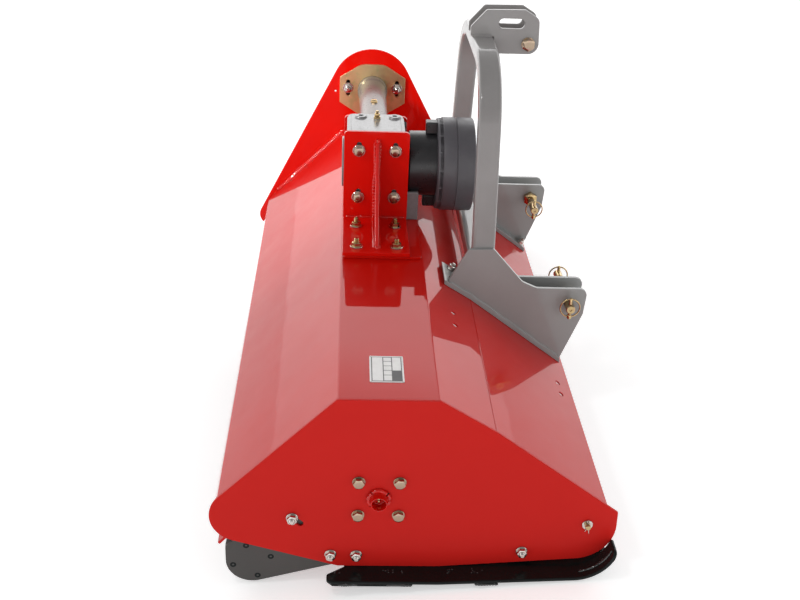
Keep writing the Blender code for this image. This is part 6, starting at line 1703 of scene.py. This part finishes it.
def make_flap_rod():
    """Hinge rod of the front flaps, with a washer and a split pin at each end."""
    end = FLAP_ROD_OVERHANG
    radius = FLAP_ROD
    low = LEFT_OUTER_X - end
    high = RIGHT_X + end
    bar = turned([(0, high), (radius - 0.001, high), (radius, high - 0.001), (radius, low + 0.001),
                  (radius - 0.001, low), (0, low)], SMALL)
    washers = []
    pins = []
    leg = 0.5 * SPLIT_PIN
    wire = leg + 0.0002
    eye = 0.0026
    for face, side in ((RIGHT_X + GAP, 1), (LEFT_OUTER_X - GAP, -1)):
        washers.append(moved(washer_disc(0.0115, radius, WASHER_THICKNESS), face, turn=OUTWARD[side]))
        x = face + side * (WASHER_THICKNESS + 2 * SPLIT_PIN)
        top = radius + 0.0035
        for sign, reach in ((1, SPLIT_PIN_DOWN), (-1, SPLIT_PIN_DOWN - 0.003)):
            path = [(x, sign * 0.0010, top), (x, sign * leg, radius), (x, sign * leg, -radius),
                    (x + side * sign * 0.0012, sign * 0.0022, -radius - 0.004),
                    (x + side * sign * 0.0018, sign * 0.0040, -reach)]
            pins.append(tube_along(path, wire, 10))
        turns = [2 * math.pi * (0.08 + 0.84 * i / 14) for i in range(15)]
        loop = [(x, eye * math.sin(turn), top + eye * (1 - math.cos(turn)) - 0.0005) for turn in turns]
        pins.append(tube_along(loop, wire, 10))
    place = (0, FLAP_ROD_Y, FLAP_ROD_Z)
    piece("flap_rod_bar", bar, "gold_zinc", place, ("flap_rod",))
    piece("flap_rod_washers", joined(*washers), "bright_zinc", place)
    piece("flap_rod_split_pins", joined(*pins), "bright_zinc", place)


# Hitch

def make_hoop():
    arch = flat_solid(arch_outline(), ARCH_DEPTH)
    arch.transform(Matrix.Rotation(math.pi / 2, 4, 'X'))
    piece("hitch_hoop", arch, "grey_paint", (GEARBOX_X, ARCH_Y, 0), ("hitch_arch",), bevel=ARCH_EDGE,
          segments=6, angle=60)
    leg = arch_leg_x()
    foot = above_slope(ARCH_Y - ARCH_DEPTH / 2, GAP + BASE_FLANGE) + 0.002
    inset = 0.002
    beads = []
    for side in (-1, 1):
        x = side * (leg + 0.0005)
        for y in (ARCH_Y - ARCH_DEPTH / 2 + inset, ARCH_Y + ARCH_DEPTH / 2 - inset):
            beads.append(weld([(x, y, foot + 0.02), (x, y, HOOP_BEAD_TOP_Z)], "hoop"))
        x = side * (leg - ARCH_BAR - 0.0005)
        for z in (CROSS_TUBE_Z - CROSS_TUBE / 2, CROSS_TUBE_Z + CROSS_TUBE / 2):
            beads.append(weld([(x, ARCH_Y - 0.018, z), (x, ARCH_Y + 0.018, z)], "cross_tube"))
    piece("hitch_hoop_welds", joined(*beads), "grey_paint", (GEARBOX_X, 0, 0))


def make_top_link():
    """The two plates on top of the hoop with their beads, and the bolt that holds the top link."""
    front = ARCH_Y + ARCH_DEPTH / 2 + GAP
    seat = ARCH_TOP_Z + GAP
    low = ARCH_TOP_Z + TOP_LINK_LOW
    corners = [(ARCH_Y + y, ARCH_TOP_Z + z, radius) for y, z, radius in TOP_LINK_REAR + TOP_LINK_FRONT]
    rear = corners[0][0]
    outline = rounded([(rear, seat, 0), *corners, (front, low, 0), (front, seat, 0)])
    holes = [slot(*TOP_LINK_SLOT, TOP_LINK_RADIUS, 18), circle(TOP_LINK_BOLT, TOP_BOLT_RADIUS + PLAY, SMALL)]
    offset = TOP_LINK_HALF - TOP_LINK_PLATE / 2
    plate = side_plate(outline, TOP_LINK_PLATE, holes)
    beads = []
    for side, sign in SIDES:
        piece("top_link_%s" % side, plate, "grey_paint", (GEARBOX_X + sign * offset, 0, 0),
              ("top_link_plate_" + side,), bevel=0.0011, segments=3)
        for face in (-1, 1):
            x = sign * offset + face * (TOP_LINK_PLATE / 2 + 0.0004)
            beads.append(weld([(x, rear + 0.003, seat), (x, front - 0.004, seat)], "top_link"))
            beads.append(weld([(x, front, seat - 0.004), (x, front, low + 0.003)], "top_link"))
    piece("top_link_welds", joined(*beads), "grey_paint", (GEARBOX_X, 0, 0))
    face = TOP_LINK_HALF + 2 * GAP
    head = joined(hex_head(TOP_BOLT_FLATS, 0.011), washer_disc(0.0170, 0.009, 0.0004))
    nut = joined(hex_head(TOP_BOLT_FLATS, 0.0115, TOP_BOLT_RADIUS), thread(0.0086, 0, 0.016, 0.0025))
    bolt = joined(moved(head, face), moved(nut, -face, turn=OUTWARD[-1]),
                  rod(TOP_BOLT_RADIUS, -face, face, SMALL))
    piece("top_link_pin_bolt", bolt, "beige_zinc", (GEARBOX_X, *TOP_LINK_BOLT), ("top_link_bolt",))


def make_lower_bracket(side, direction):
    """Two clevis plates on a folded base, with their beads and the bolts through the hood."""
    name = "lower_bracket_%s_" % side
    holes = [circle((LINK_PIN_Y, LINK_PIN_Z), LINK_PIN + PLAY, MEDIUM)]
    offset = direction * (CLEVIS_HALF - CLEVIS_PLATE / 2)
    plates = [side_plate(outboard_outline(), CLEVIS_PLATE, holes, offset),
              side_plate(inboard_outline(), CLEVIS_PLATE, holes, -offset)]
    inner, outer = sorted((-direction * (CLEVIS_HALF + BASE_INWARD),
                           direction * (CLEVIS_HALF + BASE_OUTWARD)))
    low = folded(BASE_FRONT_Y, BASE_REAR_Y, GAP)
    high = folded(BASE_FRONT_Y, BASE_REAR_Y, GAP + BASE_FLANGE)
    base = side_plate(low + high[::-1], outer - inner, x=(inner + outer) / 2)
    place = (link_x(direction), 0, 0)
    piece(name + "plates", joined(*plates, base), "low_grey_paint", place, ("lower_bracket_" + side,),
          bevel=0.0011, segments=3)
    face = direction * (CLEVIS_PLATE / 2 + 0.0004)
    front = CLEVIS_FRONT_Y - 0.006
    beads = []
    for x, rear in ((offset + face, CLEVIS_REAR_Y), (offset - face, CLEVIS_REAR_Y),
                    (-offset + face, ARCH_Y + CROSS_TUBE / 2)):
        rear += 0.004
        path = folded(front, rear, GAP + BASE_FLANGE + BEAD_LIFT)
        beads.append(weld([(x, y, z) for y, z in path if rear <= y <= front], "clevis"))
    piece(name + "welds", joined(*beads), "low_grey_paint", place)
    nuts = []
    for x, y in BASE_BOLTS:
        above, below = off_slope(y, BASE_FLANGE + 2 * GAP), off_slope(y, -SHEET - GAP)
        nuts.append(moved(nut_end(M12, 0.005), direction * x, *above, on_slope(y)))
        nuts.append(moved(head_bolt(M12, washer=False), direction * x, *below, on_slope(y) @ OUTWARD[-1]))
    piece(name + "bolts", joined(*nuts), "bright_zinc", place)


def make_link_pin(side, direction):
    """Link pin with its collar and linchpins with sprung rings."""
    inner = -direction * (CLEVIS_HALF + LINK_PIN_IN)
    outer = direction * (CLEVIS_HALF + LINK_PIN_OUT)
    low, high = sorted((inner, outer))
    radius = LINK_PIN
    bar = turned([(0, high - 0.002), (0.0028, high - 0.002), (0.0034, high), (radius - 0.0016, high),
                  (radius, high - 0.0016), (radius, low + 0.0016), (radius - 0.0016, low), (0.0034, low),
                  (0.0028, low + 0.002), (0, low + 0.002)], MEDIUM)
    collar = moved(hex_head(1.72 * LINK_COLLAR, LINK_COLLAR_WIDTH), -direction * (CLEVIS_HALF + GAP),
                   turn=OUTWARD[-direction])
    body = "lower_pin_" + side
    place = (link_x(direction), LINK_PIN_Y, LINK_PIN_Z)
    piece("link_pin_%s_bar" % side, joined(bar, collar), "gold_zinc", place, (body,), body)
    head = LINCH_HEAD
    ring_z = LINCH_RING
    stem = turned([(0, ring_z + head), (0.7 * head, ring_z + 0.92 * head), (head, ring_z + 0.5 * head),
                   (head, ring_z - 0.6 * head), (0.8 * head, ring_z - head),
                   (LINCH_RADIUS, ring_z - 1.1 * head), (LINCH_RADIUS, 0.003 - LINCH_DOWN),
                   (0.5 * LINCH_RADIUS, -LINCH_DOWN), (0, -LINCH_DOWN)], SMALL, AS_DRAWN)
    loop = arc((0, 0), ring_z, math.radians(82), math.radians(-344), 48)
    lock = joined(stem, tube_along([(0.0, y, z) for y, z in loop], LINCH_WIRE))
    locks = [moved(lock, end - way * LINCH_INSET, turn=Matrix.Rotation(math.pi, 4, 'X'))
             for end, way in ((inner, -direction), (outer, direction))]
    piece("link_pin_%s_linchpins" % side, joined(*locks), "gold_zinc", place, body=body)


def make_cross_tube():
    outer = CROSS_TUBE / 2
    inner = outer - CROSS_TUBE_WALL
    corner = CROSS_TUBE_CORNER
    tube = side_plate(rectangle(-outer, outer, -outer, outer, corner), 2 * (arch_leg_x() - ARCH_BAR - GAP),
                      [rectangle(-inner, inner, -inner, inner, corner - CROSS_TUBE_WALL)])
    piece("hitch_square_tube", tube, "grey_paint", (GEARBOX_X, ARCH_Y, CROSS_TUBE_Z), ("hitch_cross_tube",))


def dress_carried_nodes():
    """Give the nodes that stay visible their finish and rounded edges."""
    for name, node in frame["nodes"].items():
        if node.hide_render:
            continue
        slot_name = node.material_slots[0].material.name.split(".")[0]
        flap = name.startswith("front_flap")
        node.material_slots[0].material = FINISHES["sheet_zinc" if flap else slot_name]
        node.data.shade_smooth()
        round_edges(node, 0.0005, 2, 35)


# Studio

def make_camera():
    """The photograph's camera, placed in the machine's own frame."""
    cos_yaw, sin_yaw = math.cos(CAMERA_YAW), math.sin(CAMERA_YAW)
    cos_pitch, sin_pitch = math.cos(CAMERA_PITCH), math.sin(CAMERA_PITCH)
    look = Vector((-cos_yaw * cos_pitch, sin_yaw * cos_pitch, -sin_pitch))
    right = Vector((sin_yaw, cos_yaw, 0))
    up = right.cross(look)
    cos_roll, sin_roll = math.cos(CAMERA_ROLL), math.sin(CAMERA_ROLL)
    rolled_right = cos_roll * right + sin_roll * up
    rolled_up = -sin_roll * right + cos_roll * up
    pose = Matrix((rolled_right, rolled_up, -look)).transposed().to_4x4()
    data = bpy.data.cameras.new("camera")
    data.sensor_width = SENSOR_WIDTH
    data.lens = FOCAL_PIXELS * SENSOR_WIDTH / IMAGE_WIDTH
    data.clip_end = 100
    camera = shown(bpy.data.objects.new("camera", data))
    camera.matrix_world = MACHINE @ Matrix.Translation(CAMERA_PLACE) @ pose
    bpy.context.scene.camera = camera


def make_floor():
    """Pale matt floor that glows a little, as a studio's white sweep does."""
    shape = bmesh.new()
    bmesh.ops.create_grid(shape, x_segments=2, y_segments=2, size=30)
    mesh = mesh_of(shape)
    floor = shown(bpy.data.objects.new("floor", mesh))
    nodes = Nodes("floor")
    nodes.set({"Roughness": 0.9, "Specular IOR Level": 0.0, "Emission Color": (1, 1, 1, 1),
               "Emission Strength": FLOOR_GLOW})
    light, dark = ((level,) * 3 for level in FLOOR_TONES)
    nodes.feed("Base Color", nodes.mix(nodes.ramp(nodes.noise(1.5), 0.3, 0.7, 0, 1), light, dark))
    mesh.materials.append(nodes.material)


def add_area(name, place, target, size, power, spread=math.pi):
    """Square lamp at a place that faces a target."""
    data = bpy.data.lights.new(name, 'AREA')
    data.shape = 'RECTANGLE'
    data.size = data.size_y = size
    data.energy = power
    data.spread = spread
    light = shown(bpy.data.objects.new(name, data))
    light.location = place
    aim = Vector(target) - Vector(place)
    light.rotation_euler = aim.to_track_quat('-Z', 'Y').to_euler()


def world_ramp(tree, source, stops):
    """Grey level that follows a direction's component through stops of (component, level)."""
    ramp = add_node(tree, "ValToRGB", {"Fac": source})
    for i, (place, level) in enumerate(stops):
        stop = ramp.color_ramp.elements[i] if i < 2 else ramp.color_ramp.elements.new(place)
        stop.position = place
        stop.color = (level, level, level, 1)
    return ramp.outputs["Color"]


def make_light():
    """Pale studio: even light all round with a brighter wall beyond the far end, and two soft lamps."""
    world = bpy.data.worlds.new("studio")
    bpy.context.scene.world = world
    world.use_nodes = True
    tree = world.node_tree
    place = tree.nodes.new("ShaderNodeTexCoord").outputs["Generated"]
    split = add_node(tree, "SeparateXYZ", {"Vector": place})
    spread = add_node(tree, "MapRange", {"Value": split.outputs["X"], "From Min": WALL_SPREAD[0],
                                         "From Max": WALL_SPREAD[1]})
    both = add_node(tree, "Mix", {"Factor": spread.outputs["Result"],
                                  6: world_ramp(tree, split.outputs["Z"], WALL_LIGHT),
                                  7: world_ramp(tree, split.outputs["Z"], ROOM_LIGHT)}, data_type='RGBA')
    background = tree.nodes["Background"]
    tree.links.new(both.outputs[2], background.inputs["Color"])
    background.inputs["Strength"].default_value = WORLD_STRENGTH
    add_area("overhead", (1.1, -0.9, 2.4), (-0.1, 0, 0.3), 0.2, 5)
    add_area("far_end_lamp", (0.6, -1.6, 1.9), (-0.8, -0.1, 0.5), 0.4, 3.2, math.radians(42))


for make in (make_camera, make_floor, make_light, make_hood, make_rear_weld, make_doubler, make_end_plates,
             make_scraper, make_data_plate, make_bearings, make_plate_bolts, make_gearbox, make_side_bolts):
    make()
for side_name, sign in SIDES:
    make_bracket(side_name, sign)
for make in (make_shaft_tube, make_belt_cover, make_guard, make_input_shaft, make_roller_arms, make_roller,
             make_skids, make_flap_rod, make_hoop, make_top_link):
    make()
for make in (make_lower_bracket, make_link_pin):
    for side_name, sign in SIDES:
        make(side_name, sign)
make_cross_tube()
dress_carried_nodes()
bpy.context.scene.view_settings.view_transform = 'Standard'
